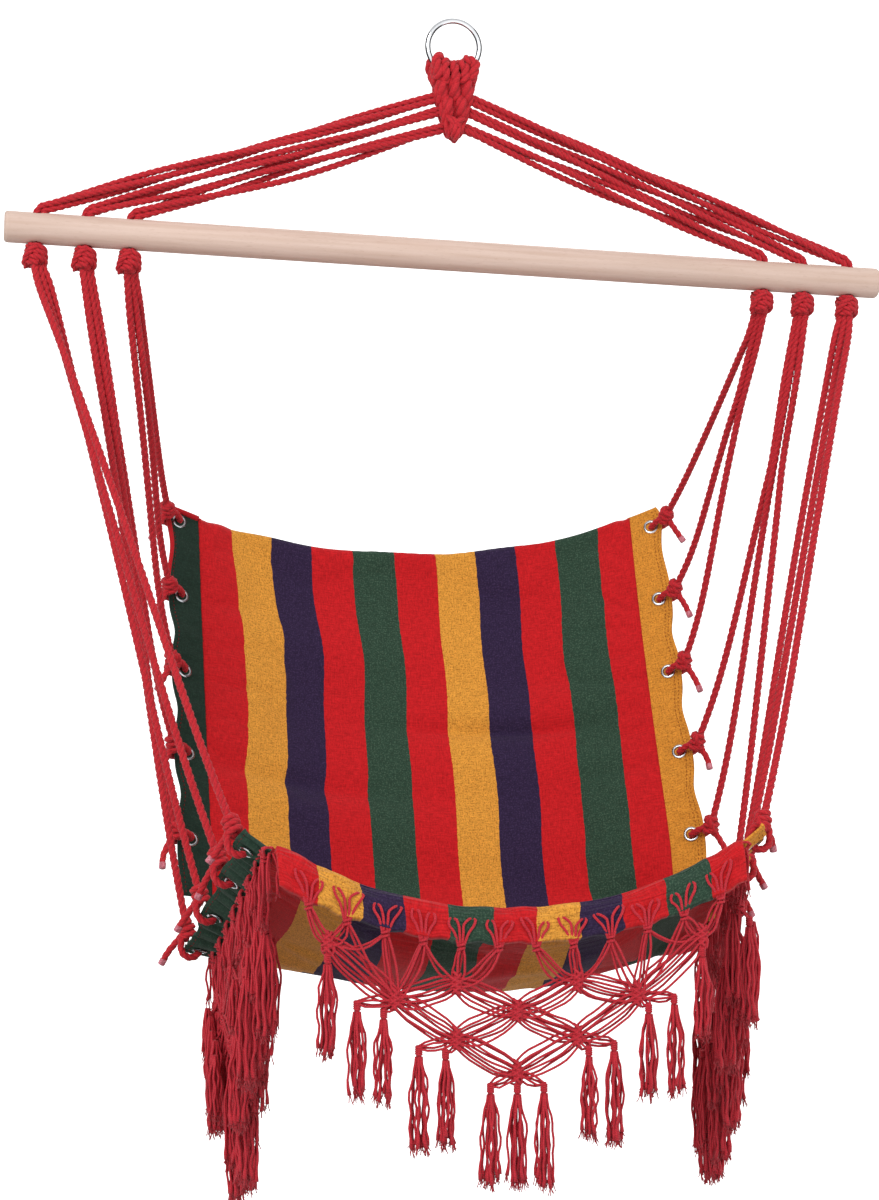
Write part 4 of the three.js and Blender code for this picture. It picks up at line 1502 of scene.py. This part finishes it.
    def part(self, name: str, node: str, low: float, high: float, cloth: ClothGrid) -> Piece:
        """One length of the cloth between two stations, with the stripes' own map.

        Args:
            name: the piece's name.
            node: the node that it stands for.
            low: its first station.
            high: its last one.
            cloth: the whole length of cloth.

        Returns:
            The piece.
        """
        middle = cloth.station[:, cloth.station.shape[1] // 2]
        kept = np.flatnonzero((middle >= low) & (middle <= high))
        across, station = cloth.across[kept], cloth.station[kept]
        seam = (1 - np.abs(across)) * FORM.width / 2
        soft = np.sqrt(np.clip(1 - (1 - np.clip(seam / self.soft_edge, 0, 1)) ** 2, 0, 1))
        if low < 1:
            top = np.clip((station - cloth.station[0]) / 0.12, 0, 1)
            soft = soft * np.sqrt(1 - (1 - top) ** 2)
        thick = self.edge_thickness + (self.thickness - self.edge_thickness) * soft
        piece = thick_sheet(name, cloth.places[kept], thick, cloth.flat[kept])
        stripes = piece.data.uv_layers.new(name="Stripes")
        corner = np.empty(len(piece.data.loops), int)
        piece.data.loops.foreach_get("vertex_index", corner)
        slipped = (across + 1) / 2 - self.drift(across, station)
        share = np.concatenate([slipped.ravel()] * 2)[corner]
        length = np.concatenate([(station / FORM.last).ravel()] * 2)[corner]
        stripes.data.foreach_set("uv", np.stack([share, length], axis=1).astype(np.float32).ravel())
        return FINISH.stripes.dress(piece, "sling", node)

    def build(self) -> list[Piece]:
        """Makes the cloth's three lengths, which share a row where they meet, and its sewing."""
        a, s, grid = self.grid()
        grid = self.simulate(a, s, grid)
        cloth = ClothGrid(a, s, grid, self.lengths(grid))
        row = FORM.fold / (self.rows - self.hem_rows)
        start = FORM.fold - row / 4
        back = self.part("padded_back", "back_panel", 0, FORM.crease, cloth)
        seat = self.part("padded_seat", "seat_panel", FORM.crease - row, FORM.fold + row / 4, cloth)
        hem = self.part("stitched_front_hem", "front_hem", start, FORM.last, cloth)
        return [back, seat, hem, self.sewing()]

    def sewing(self) -> Piece:
        """The hem's line of stitches, which its padded cloth closes over but at the sides."""
        thread = StrandMesh()
        for face in (-1, 1):
            for k in range(self.stitches):
                across = -0.985 + 1.97 * (k + 0.5) / self.stitches
                station = self.stitch_station
                normal = FORM.normal(across, station)[0] * face
                centre = FORM.place(across, station)[0] + normal * 0.0019
                along = unit(FORM.place(across + 0.01, station)[0] - FORM.place(across - 0.01, station)[0])
                thread.bead(centre, along, normal, (0.0014, 0.0005, 0.0005))
        return FINISH.dark_thread.dress(thread.build("hem_stitches"), "sling")


@dataclass
class SideStrips:
    """The gathered strips along the seams: green on the viewer's left, mustard on the right."""

    columns: int = 30
    rows_per_station: int = 34
    thickness: float = 0.003
    overlap: float = 0.003
    turning: float = 0.004
    ease: float = 1.12

    def surface(self, side: Side, kind: StripKind) -> Arrays:
        """Lays one strip, with its scallops between the eyelets and its pleats.

        Args:
            side: its side of the sling.
            kind: the back's strip or the seat's.

        Returns:
            The shares out from the seam, and the places, by row and column.
        """
        if kind is StripKind.BACK:
            low, high, eyelets = 0.0, 4.5, BACK_EYELETS
        else:
            low, high, eyelets = 5.5, 9.5, SEAT_EYELETS
        rows = int((high - low) * self.rows_per_station) + 1
        share, station = np.meshgrid(np.linspace(0, 1, self.columns), np.linspace(low, high, rows))
        c, s = share.ravel(), station.ravel()
        lower = 0.14 if side is Side.LEFT else 0.07
        s = np.where(s < 1, s + lower * np.maximum(1 - s, 0) ** 3, s)
        pitch = eyelets[-1] - eyelets[-2]
        between = ((1 - np.cos(2 * np.pi * (s - eyelets[-1]) / pitch)) / 2) ** 2
        reach = FORM.strip_width - 0.004 * between
        if kind is StripKind.BACK and side is Side.RIGHT:
            reach = reach - 0.012 * np.clip(1 - s / 0.22, 0, 1) ** 2
        out = -self.overlap + (reach + self.overlap) * c
        across = side.value * FORM.past_seam(s, out)
        normal = FORM.normal(across, s)
        wave = np.sin(2 * np.pi * s * 4.3 + 0.9 * np.sin(2.3 * s) + side.value)
        fine = np.sin(2 * np.pi * s * 8.6 + 2.0 * np.sin(1.7 * s))
        if kind is StripKind.BACK:
            pleat = (wave * 0.0008 + fine * 0.0004) * np.sin(np.pi * np.clip(c, 0, 0.9)) * (1.2 - c)
        else:
            pleat = (wave * 0.0031 + fine * 0.0012) * (0.45 + 0.55 * (1 - c)) * smoothstep(c, 0, 0.12)
        lift = 0.003 * between * c + pleat
        lift += 0.0012 * np.exp(-(((1 - c) / 0.09) ** 2)) * (kind is StripKind.SEAT)
        point = FORM.place(across, s) + normal * lift[:, None]
        return share, point.reshape(*share.shape, 3)

    def strip(self, side: Side, kind: StripKind) -> list[Piece]:
        """One strip with its stitches.

        Args:
            side: its side of the sling.
            kind: the back's strip or the seat's.

        Returns:
            The strip and what is sewn on it.
        """
        finish, panel, held = FINISH.mustard, "padded_back", "stretched"
        if side is Side.LEFT:
            # The back strip's green is darkened as painted shade, and the seat strip's copy is lighter as
            # painted light.
            finish = FINISH.green if kind is StripKind.BACK else FINISH.seat_green
        if kind is StripKind.SEAT:
            panel, held = "padded_seat", "gathered"
        share, grid = self.surface(side, kind)
        edge = np.exp(-(((1 - share) / 0.07) ** 2)) + np.exp(-((share / 0.08) ** 2)) * 0.6
        thick = self.thickness * (0.72 + 0.45 * edge)
        down = np.concatenate([[0], np.cumsum(np.linalg.norm(np.diff(grid[:, 0], axis=0), axis=1))])
        uv = np.stack([share * FORM.strip_width, down[:, None] + 0 * share], axis=2)
        piece = thick_sheet(f"{kind.value}_side_strip_{side.label}", grid, thick, uv)
        finish.dress(piece, "sling", f"{kind.value}_strip_{side.label}")
        sewn = [piece, self.stitches(side, kind, grid)]
        return sewn + [self.rolled_edge(grid)] if finish is FINISH.green else sewn

    def stitches(self, side: Side, kind: StripKind, grid: Array) -> Piece:
        """Two lines of stitches along a strip, on both its faces.

        Args:
            side: its side of the sling.
            kind: the back's strip or the seat's.
            grid: the strip's places.

        Returns:
            The stitches.
        """
        mesh = StrandMesh()
        normals = unit(np.cross(np.gradient(grid, axis=0), np.gradient(grid, axis=1)))
        for column in (-4, -7) if side is Side.RIGHT else (-4, 2):
            line = even(grid[:, column], 0.0046)
            index = np.linspace(0, len(grid) - 1, len(line)).astype(int)
            for k in range(1, len(line) - 1):
                along = unit(line[k + 1] - line[k - 1])
                for face in (-1, 1):
                    normal = normals[index[k], column] * face
                    centre = line[k] + normal * self.thickness * 0.5
                    mesh.bead(centre, along, normal, (0.0014, 0.0004, 0.0004))
        finish = FINISH.thread if side is Side.RIGHT else FINISH.dark_thread
        return finish.dress(mesh.build(f"{kind.value}_strip_stitches_{side.label}"), "sling")

    def rolled_edge(self, grid: Array) -> Piece:
        """The red edge rolled round the upper corner of the green back strip."""
        upper = grid[: int(0.95 * self.rows_per_station)]
        border = even(np.vstack([upper[0, 2::3], upper[1:, -1]]), 0.003)
        roll = StrandMesh()
        roll.tube(border, 0.0034 - 0.0014 * np.linspace(0, 1, len(border)), sides=12)
        return FINISH.edging.dress(roll.build("rolled_red_edge"), "sling")

    def build(self) -> list[Piece]:
        """Makes the four strips with what is sewn on them."""
        return [piece for side in Side for kind in StripKind for piece in self.strip(side, kind)]


@dataclass
class Eyelets:
    """Eighteen plated eyelets clinched in the strips: one is turned, the others are its copies."""

    bore: float = 0.0048
    rim: float = 0.008
    grip: float = 0.0017
    face: float = 0.0027
    steps: int = 40

    def turned(self) -> Piece:
        """The eyelet's rolled section, spun about its axis."""
        bore, rim, grip, face = self.bore, self.rim, self.grip, self.face
        top = [
            (rim - 0.0001, grip), (rim, grip + 0.0004), (rim - 0.0006, face - 0.0002), (rim - 0.0014, face),
            (bore + 0.0012, face), (bore + 0.0004, face - 0.0005), (bore, face - 0.0014),
        ]
        inside = [(bore + 0.0006, -grip), (bore + 0.0006, grip)]
        section = [*top, *((r, -z) for r, z in reversed(top)), *inside]
        eyelet = spun("eyelet", section, self.steps, 0.00002, True)
        smooth_by_angle(eyelet, 50)
        return eyelet

    def clinched(self, pattern: Piece, name: str, side: Side, station: float) -> Piece:
        """A copy of the eyelet, with its own mesh, in its place."""
        centre, normal, outward, along = FORM.eyelet(side, station)
        mesh = pattern.data.copy()
        rows = [(outward[k], along[k], normal[k], centre[k]) for k in range(3)]
        mesh.transform(Matrix((*rows, (0, 0, 0, 1))))
        return face_outwards(put_object(name, mesh))

    def build(self) -> list[Piece]:
        """Clinches every eyelet in its place."""
        pattern, pieces = self.turned(), []
        for side in Side:
            for kind, stations in ((StripKind.BACK, BACK_EYELETS), (StripKind.SEAT, SEAT_EYELETS)):
                for index, station in enumerate(stations):
                    end = f"eyelet_{side.label}_{index + 1}"
                    piece = self.clinched(pattern, f"{kind.value}_plated_{end}", side, station)
                    pieces.append(FINISH.eyelet.dress(piece, "sling", f"{kind.value}_{end}"))
        bpy.data.objects.remove(pattern)
        return pieces


@dataclass
class HangingRopes:
    """Nine ropes a side from the stopper knots to the eyelets, each tied back on itself.

    Back and seat have each rope's stopper knot and its order there. Together has how far the ropes
    of each knot run side by side.
    """

    bridle: Bridle
    knots: RopeKnots = field(default_factory=RopeKnots)
    rope: float = 0.0041
    wrap_rope: float = 0.0034
    pitch: float = 0.0225
    groove: float = 0.27
    loop: float = 0.0095
    reach: float = 0.0065
    apart: float = 0.0066
    tail: float = 0.034
    together: Rows = ((0.014, 0.014, 0.014), (0.15, 0.15, 0.15), (0.1, 0.1, 0.02))
    back: tuple[tuple[int, int], ...] = ((2, 1), (2, 0), (2, -1), (1, 1), (1, 0))
    seat: tuple[tuple[int, int], ...] = ((1, -1), (0, 1), (0, 0), (0, -1))

    def tie_place(self, side: Side, station: float, knot: Array) -> Arrays:
        """Where a rope is tied: the tie, the loop's middle, its pull, the strip's normal and line."""
        centre, normal, outward, along = FORM.eyelet(side, station)
        loop_centre = centre + outward * self.loop
        to_knot = unit(knot - loop_centre)
        pull = unit(outward * (to_knot @ outward) + normal * (to_knot @ normal))
        return loop_centre + pull * (self.loop + self.reach + self.rope / 2), loop_centre, pull, normal, along

    def group_run(self, side: Side, knot_index: int, knot: Array) -> Array:
        """The direction in which the ropes that stay together leave their knot."""
        ties = [*zip(BACK_EYELETS, self.back), *zip(SEAT_EYELETS, self.seat)]
        longest = max(self.together[knot_index])
        ends = [
            self.tie_place(side, station, knot)[0] for station, (owner, order) in ties
            if owner == knot_index and self.together[owner][order + 1] == longest
        ]
        return unit(np.mean(ends, axis=0) - knot)

    def run(self, side: Side, station: float, knot_index: int, order: int, tie: Array) -> Arrays:
        """One rope from its knot to its tie: beside its neighbours first, then on its own.

        Args:
            side: its side of the sling.
            station: its eyelet's station.
            knot_index: its stopper knot.
            order: its order among the ropes of that knot.
            tie: where it is tied.

        Returns:
            Its line, and the direction of its last stretch.
        """
        knot = self.bridle.stopper_place(side, knot_index)
        group = self.group_run(side, knot_index, knot)
        apart = unit(vec(-side.value * 0.86, 0.5, 0)) * order * self.apart
        together = self.together[knot_index][order + 1]
        first = knot + group * 0.009 + apart * 0.7
        split = knot + group * (together + 0.015 * abs(order)) + apart
        run = unit(tie - split)
        legs = [first, split] if together < 0.05 else [first, knot + group * together * 0.5 + apart, split]
        length = np.linalg.norm(tie - split)
        legs += [split + run * length * share for share in (0.12, 0.4, 0.7, 0.92)] + [tie]
        line = bent(legs, 0.0026)
        t = np.linspace(0, 1, len(line))
        sag = unit(np.cross(run, vec(0, 1, 0)))
        line = line + sag * (np.sin(np.pi * t) * 0.0022 * math.sin(station * 2.3 + side.value))[:, None]
        slack = (0.006 if station < FORM.crease else 0.003) * min(1.0, station)
        return line + vec(side.value * 0.8, 0, -0.5) * (slack * np.sin(np.pi * t**3))[:, None], run

    def tail_line(self, side: Side, station: float, tie: Array, normal: Array) -> Array:
        """The rope's tail, which hangs and curls from its tie.

        Args:
            side: its side of the sling.
            station: its eyelet's station.
            tie: where the rope is tied.
            normal: the way out of the strip.

        Returns:
            The tail's line.
        """
        seeded = random.Random(int(station * 40) + side.value * 7)
        fall = unit(vec(side.value * 0.8, 0, -1.3) + normal * 0.5)
        turned = (seeded.uniform(low, high) for low, high in ((-0.4, 0.4), (-0.4, 0.2), (-0.6, 0.1)))
        curl = unit(fall + vec(*turned))
        long = self.tail * seeded.uniform(0.85, 1.25)
        return bent([
            tie, tie + fall * long * 0.4, tie + fall * long * 0.66 + curl * long * 0.05,
            tie + fall * long * 0.72 + curl * long * 0.32,
        ], 0.0022)

    def one(self, side: Side, station: float, knot_index: int, order: int) -> tuple[StrandMesh, StrandMesh]:
        """One rope with its loop, its knot and its tail, and the tape on the tail's end.

        Args:
            side: its side of the sling.
            station: its eyelet's station.
            knot_index: its stopper knot.
            order: its order among the ropes of that knot.

        Returns:
            The rope and the tape.
        """
        knot = self.bridle.stopper_place(side, knot_index)
        tie, loop_centre, pull, normal, along = self.tie_place(side, station, knot)
        line, run = self.run(side, station, knot_index, order, tie)
        mesh = StrandMesh()
        mesh.tube(line, self.rope, sides=12, pitch=self.pitch, groove=self.groove)
        turn = np.linspace(0, 2 * np.pi, 42, endpoint=False)
        reach = self.loop * np.cos(turn) + self.reach * smoothstep(np.cos(turn), 0, 1)
        ring = (
            loop_centre + pull * reach[:, None]
            + unit(np.cross(along, pull)) * (self.loop * np.sin(turn))[:, None]
            + along * (0.0012 * np.sin(turn))[:, None]
        )
        mesh.tube(ring, self.rope * 0.92, sides=12, pitch=self.pitch, groove=self.groove, closed=True)
        self.knots.wraps(mesh, tie - run * 0.0085, tie + run * 0.0075, 2.6, 0.0058, self.wrap_rope)
        side_run = unit(np.cross(run, normal))
        cross = bent([
            tie - run * 0.008 + side_run * 0.005, tie + normal * 0.0078 - run * 0.001,
            tie + run * 0.0076 - side_run * 0.005, tie - normal * 0.0078 + run * 0.001,
        ], 0.002)
        mesh.tube(cross, self.rope * 0.95, sides=12, pitch=self.pitch, groove=0.34)
        tail = self.tail_line(side, station, tie, normal)
        mesh.tube(tail, self.rope * 0.88, sides=12, pitch=self.pitch, groove=self.groove)
        tape = StrandMesh()
        lead = unit(tail[-1] - tail[-3])
        ends = [tail[-1] + lead * far for far in (-0.005, -0.0044, 0.0012, 0.0018)]
        tape.tube(np.array(ends), np.array([0.0028, 0.0036, 0.0035, 0.0024]), sides=14)
        return mesh, tape

    def build(self) -> list[Piece]:
        """Ties all eighteen ropes."""
        pieces = []
        ropes = ((StripKind.BACK, BACK_EYELETS, self.back), (StripKind.SEAT, SEAT_EYELETS, self.seat))
        for side in Side:
            for kind, stations, ties in ropes:
                for index, (station, (knot, order)) in enumerate(zip(stations, ties)):
                    rope, tape = self.one(side, station, knot, order)
                    end = f"{side.label}_{index + 1}"
                    piece = rope.build(f"{kind.value}_hanging_rope_{end}")
                    pieces.append(FINISH.rope.dress(piece, "sling", f"{kind.value}_rope_{end}"))
                    pieces.append(FINISH.tape.dress(tape.build(f"{kind.value}_taped_end_{end}"), "sling"))
        return pieces


@dataclass
class Fringe:
    """One knotted fringe: cords looped through the cloth, fans and knots in rows, and tassels.

    Edge gives the height of the cloth's edge, and pierce a place in the cloth. Frame has the edge's
    origin, its direction and the way out. Start, where the swing would begin and be full, is not used.
    """

    name: str
    node: str
    body: str
    loops: int
    row_drops: tuple[float, ...]
    row_tassels: tuple[int, ...]
    knot_pitch: float
    swag_drop: float
    tassel_length: float
    tassel_cords: int
    bunches: int
    edge: Callable[[float], float]
    pierce: Callable[[float, float, float], Array]
    frame: tuple[Array, Array, Array]
    rise: float
    start: tuple[Array, Array]
    seed: int
    depth: float = 0.002
    spread: float = 0.0095
    row_counts: tuple[int, ...] = (2, 3, 2, 1)
    loop_pitch: float = 0.034
    gather_drop: float = 0.006
    hang: float = 0.012
    spacing: float = 0.024
    cord: float = 0.00118
    tip: float = 0.0005
    strands: int = 8
    gap: float = 0.0031
    cut_length: float = 0.4

    def __post_init__(self) -> None:
        """Starts the fringe's own seeded draws and its mesh, and sets out its knots."""
        self.random = random.Random(self.seed)
        self.mesh = StrandMesh()
        self.half = (self.loops - 1) / 2
        self.rows = [[(k - (n - 1) / 2) * self.knot_pitch for k in range(n)] for n in self.row_counts]
        self.places = [[self.at(x, drop) for x in row] for row, drop in zip(self.rows, self.row_drops)]
        self.swag_x = (self.half - 0.5) * self.loop_pitch
        self.swags = {side: self.at(side * self.swag_x, self.swag_drop) for side in (-1, 1)}

    def at(self, x: float, drop: float, out: float = 0.0) -> Array:
        """A place in the fringe's plane: along the edge, below it, and out towards the viewer."""
        origin, along, face = self.frame
        place = origin + along * x + face * out
        place[2] = self.edge(x) - drop
        return place

    def ring(self, centre: Array, size: tuple[float, float, float], thick: float, corners: int) -> None:
        """One turn of cord round what passes through it."""
        along, face = self.frame[1:]
        wide, deep, rise = size
        turn = np.linspace(0, 2 * np.pi, corners, endpoint=False)
        ring = (
            centre + vec(0, 0, 1) * (rise * np.cos(turn))[:, None]
            + along * (wide * np.cos(turn))[:, None] + face * (deep * np.sin(turn))[:, None]
        )
        self.mesh.tube(ring, thick, sides=5, closed=True)

    def fan(self, start: Array, end: Array, strands: int, sag: float, opening: tuple[float, float]) -> None:
        """Cords side by side from one knot to the next.

        Args:
            start: the upper knot.
            end: the lower knot.
            strands: how many cords.
            sag: how far they hang below a straight line.
            opening: the share of their full spread that they keep at each end.
        """
        face = self.frame[2]
        across = unit(np.cross(face, end - start))
        t = np.linspace(0, 1, max(5, round(float(np.linalg.norm(end - start)) / 0.0055)))
        part = np.minimum(1, 1.25 * np.sin(np.pi * t) ** 0.8)
        width = opening[0] * (1 - t) + opening[1] * t
        width = width + (1 - width) * part
        jitter = self.random.uniform
        for k in range(strands):
            place = (k - (strands - 1) / 2) * self.gap * jitter(0.88, 1.12)
            wave = jitter(0.0003, 0.001) * np.sin(jitter(0, 6.3) + t * jitter(4, 9)) * part
            bow = sag * np.sin(np.pi * t) * jitter(0.7, 1.3)
            depth = (0.0013 if k % 2 else -0.0013) + jitter(-0.0006, 0.0006)
            line = (
                start + (end - start) * t[:, None] + across * (place * width + wave)[:, None]
                + face * depth - vec(0, 0, 1) * bow[:, None]
            )
            self.mesh.tube(line, self.cord, sides=5)

    def knot(self, place: Array, wide: float = 0.013, tall: float = 0.021) -> None:
        """A woven knot: crossing turns of cord around the cords that pass through it."""
        thick = 0.0013
        for k in range(7):
            z = (k / 6 - 0.5) * (tall - 0.006)
            reach = (wide / 2 - thick) * (1.0 - 0.4 * abs(k / 6 - 0.5) * 2)
            self.ring(place + vec(0, 0, z), (reach, 0.0034, 0.0034 if k % 2 else -0.0034), thick, 14)
        fill = np.array([place + vec(0, 0, z) * tall for z in (-0.48, -0.2, 0.2, 0.48)])
        self.mesh.tube(fill, np.array([0.0014, 0.0034, 0.0034, 0.0014]), sides=8)

    def bunch(self, top: Array, length: float, cords: int, spread: float) -> None:
        """Crimped cords that hang together and fray at their ends.

        Args:
            top: where they hang from.
            length: how long they are.
            cords: how many.
            spread: how far they open.
        """
        along, face = self.frame[1:]
        jitter = self.random.uniform
        for k in range(cords):
            angle = 2.4 * k + jitter(-0.3, 0.3)
            out = math.sqrt((k + 0.5) / cords)
            side = along * math.cos(angle) + face * (math.sin(angle) * 0.8)
            cut = length * jitter(0.9, 1.04)
            t = np.linspace(0, 1, max(6, round(cut / 0.006)))
            closing = jitter(0, 0.4) * smoothstep(t, 0.5, 1.0)
            swell = spread * out * (0.32 + 0.68 * smoothstep(t, 0.0, 0.4) - closing)
            waves = [
                jitter(0.0004, 0.0012) * np.sin(jitter(0, 6.3) + 2 * np.pi * cut * t / jitter(0.02, 0.04))
                * smoothstep(t, 0.0, 0.25) for _ in range(2)
            ]
            lean = jitter(-0.003, 0.003)
            line = (
                top + side * swell[:, None] + along * (waves[0] + lean * t * t)[:, None]
                + face * waves[1][:, None] - vec(0, 0, 1) * (0.002 + cut * t)[:, None]
            )
            self.mesh.tube(line, self.cord * (1 + 0.75 * smoothstep(t, 0.88, 0.94)), sides=5)
            for _ in range(4):
                tip = line[-1] + along * jitter(-0.0034, 0.0034) + face * jitter(-0.0034, 0.0034)
                tip[2] -= jitter(0.003, 0.0085)
                frayed = np.array([line[-1] + vec(0, 0, 0.003), (line[-1] + tip) / 2, tip])
                self.mesh.tube(frayed, self.tip, sides=3)

    def tassel(self, knot: Array, x: float, drop: float) -> None:
        """A tassel: a few cords from its knot to a whipped neck, and the bunch below it."""
        top = self.at(x, drop, self.random.uniform(-self.depth, self.depth))
        self.fan(knot, top, 4, 0.0015, (0.5, 0.2))
        for k in range(4):
            self.ring(top - vec(0, 0, 0.0019 * k), (0.0026, 0.0026, -0.0005), 0.0011, 10)
        self.mesh.tube(np.array([top + vec(0, 0, 0.002), top - vec(0, 0, 0.008)]), 0.0026, sides=7)
        long = self.tassel_length * self.random.uniform(0.94, 1.1)
        self.bunch(top - vec(0, 0, 0.006), long - 0.006, self.tassel_cords, self.spread)

    def lark(self, x: float) -> None:
        """Two long loops through the cloth, drawn together below its edge.

        Args:
            x: how far along it.
        """
        along, face = self.frame[1:]
        foot = self.at(x, self.gather_drop, 0.002)
        for k in (-1, 1):
            self.ring(foot + vec(0, 0, 0.0018 * k), (0.003, 0.0028, 0.0008), 0.0012, 10)
        for side in (-1, 1):
            tip = x + side * self.random.uniform(0.0066, 0.0125)
            rise = self.rise * self.random.uniform(0.74, 1.16)
            middle = x + side * 0.0068
            for lean in (-1, 1):
                wide = lean * self.random.uniform(0.0034, 0.0048)
                self.loop([
                    foot + along * (side * 0.0016 + lean * 0.0006),
                    self.pierce(x + side * 0.0042 + wide * 0.55, rise * 0.3, 1),
                    self.pierce(middle + wide, rise * 0.62, 1.15),
                    self.pierce(tip + wide * 0.6, rise * 0.93, 0.95), self.pierce(tip, rise, 0),
                ])
            self.loop([
                self.pierce(tip, rise, 0), self.pierce(tip, rise * 0.92, -0.95),
                self.pierce(middle, rise * 0.5, -1.15), foot - face * 0.004 + vec(0, 0, 0.003), foot,
            ])

    def loop(self, controls: list[Array]) -> None:
        """One cord of a loop through the cloth."""
        self.mesh.tube(bent(controls, 0.0034), self.cord * 1.12, sides=6)

    def loops_and_fans(self) -> None:
        """Loops the cords through the cloth and brings them to the first knots."""
        rows, places = self.rows, self.places
        tops = [*zip(rows[0], places[0]), (rows[1][0], places[1][0]), (rows[1][-1], places[1][-1])]
        tops += [(side * self.swag_x, self.swags[side]) for side in (-1, 1)]
        for x in [(i - self.half) * self.loop_pitch for i in range(self.loops)]:
            self.lark(x)
            for share in (0.3, 0.7) if self.bunches else ():
                shift = (share - 0.5) * self.loop_pitch
                top = self.at(x + shift, -0.001, self.random.uniform(-0.002, 0.004))
                self.bunch(top, self.tassel_length * self.random.uniform(0.3, 0.72), 3, self.spread * 0.7)
            nearest = sorted(tops, key=lambda top: abs(top[0] - x))
            gathered = self.at(x, self.gather_drop, 0.002)
            for strands, (far, place) in zip((4, 2), nearest):
                if abs(far - x) < self.loop_pitch * 1.7:
                    self.fan(gathered, place, strands, 0.003 + 0.12 * abs(far - x), (0.3, 0.8))
        for upper, row, lower, below in zip(rows, places, rows[1:], places[1:]):
            for x, place in zip(lower, below):
                for far, start in zip(upper, row):
                    if abs(far - x) < self.knot_pitch:
                        self.fan(start, place, self.strands, 0.03 * abs(far - x), (0.52, 0.52))

    def rim(self, side: int) -> None:
        """The slanted rim on one side, -1 or 1: its tassels, and bunches between its knots."""
        swag, end, last = self.swags[side], min(0, -side), len(self.rows) - 1
        self.knot(swag)
        self.fan(swag, self.places[1][end], self.strands, 0.002, (0.5, 0.52))
        self.tassel(swag, side * self.swag_x, self.swag_drop + self.hang)
        corners = [swag]
        for row, count in enumerate(self.row_tassels[:last]):
            x, place = self.rows[row][end], self.places[row][end]
            if row:
                corners.append(place)
            for k in range(count):
                self.tassel(place, x + side * (0.01 + self.spacing * k), self.row_drops[row] + self.hang)
        corners.append(self.places[last][0])
        for start, stop in zip(corners, corners[1:]):
            for k in range(self.bunches):
                share = (k + 0.6) / (self.bunches + 0.2)
                short = k % 2 * self.cut_length
                out = self.random.uniform(-self.depth, self.depth * 0.4) + short * 2.6 * self.depth
                place = start + (stop - start) * share + self.frame[2] * out
                long = self.tassel_length * (self.random.uniform(0.82, 1.04) - short)
                self.bunch(place, long, 10, self.spread * (1 - short))

    def build(self) -> list[Piece]:
        """Knots the whole fringe."""
        for place in [p for row in self.places for p in row]:
            self.knot(place)
        self.loops_and_fans()
        for side in (-1, 1):
            self.rim(side)
        count = self.row_tassels[-1]
        for k in range(count):
            shift = (k - (count - 1) / 2) * self.spacing
            self.tassel(self.places[-1][0], shift, self.row_drops[-1] + self.hang)
        piece = FINISH.cord.dress(self.mesh.build(self.name), node=self.node)
        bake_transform(piece)
        return [piece]


def front_fringe() -> Fringe:
    """The fringe under the front hem."""
    y = -FORM.front

    def edge(x: float) -> float:
        """The height of the hem's edge."""
        return float(FORM.place(2 * x / FORM.hem_width, FORM.last)[0][2])

    def pierce(x: float, up: float, out: float) -> Array:
        """A place in the hem or before it."""
        across, station = 2 * x / FORM.hem_width, FORM.last - up / FORM.hem_height
        return FORM.place(across, station)[0] + FORM.normal(across, station)[0] * out * 0.0048

    return Fringe(
        name="front_macrame", node="front_fringe", body="front_net", loops=12,
        row_drops=(0.039, 0.062, 0.088, 0.116), row_tassels=(0, 2, 2, 3), knot_pitch=0.11,
        swag_drop=0.03, tassel_length=0.079, tassel_cords=12, bunches=0, edge=edge, pierce=pierce,
        frame=(vec(0, y, 0), vec(1, 0, 0), vec(0, -1, 0)), rise=0.027,
        start=(vec(0, y, -0.893), vec(0, y, -0.935)), seed=11,
    )


def side_fringe(side: Side) -> Fringe:
    """The fringe under one seat strip, just outside the seam.

    Args:
        side: its side of the sling.

    Returns:
        The fringe.
    """
    station = np.linspace(5.6, 9.5, 60)
    line = FORM.place(side.value * FORM.past_seam(station, np.full(60, 0.007)), station)
    rear = np.array([np.interp(6.0, station, line[:, k]) for k in range(3)])
    front = line[-1]
    middle = (rear + front) / 2
    along = unit(vec(rear[0] - front[0], rear[1] - front[1], 0))
    face = vec(side.value * abs(along[1]), -side.value * along[0] * np.sign(along[1]), 0)
    order = np.argsort(line[:, 1])
    run = unit(rear - front)
    down = unit(vec(0, 0, -1) + run * run[2])

    def edge(x: float) -> float:
        """The height of the strip just under its seam."""
        return float(np.interp(middle[1] + x, line[order, 1], line[order, 2])) - 0.003

    def pierce(x: float, up: float, out: float) -> Array:
        """A place in the strip or beside it."""
        return fringe.at(x, -up, out * 0.0042)

    fringe = Fringe(
        name=f"side_macrame_{side.label}", node=f"side_fringe_{side.label}", body=f"{side.label}_net",
        loops=8, row_drops=(0.046, 0.078, 0.116, 0.152), row_tassels=(0, 1, 1, 3), knot_pitch=0.074,
        swag_drop=0.046, tassel_length=0.094, tassel_cords=16, bunches=5, edge=edge, pierce=pierce,
        frame=(vec(middle[0], middle[1], 0), along, face), rise=0.004,
        start=(middle - down * 0.002, middle + down * 0.034), seed=17 + side.value, depth=0.013,
        spread=0.013,
    )
    return fringe


def main() -> None:
    """Builds the studio, then the chair from the top down, and reports each piece."""
    logging.basicConfig(level=logging.INFO, format="%(message)s")
    Studio().build()
    ring, bar = HangingRing(), SpreaderBar()
    bridle = Bridle(bar)
    for assembly in (
        ring, HeadKnot(ring), bar, bridle, SlingCloth(), SideStrips(), Eyelets(), HangingRopes(bridle),
        front_fringe(), side_fringe(Side.LEFT), side_fringe(Side.RIGHT),
    ):
        for piece in assembly.build():
            log.info("%s: %d faces", piece.name, len(piece.data.polygons))


if __name__ == "__main__":
    main()
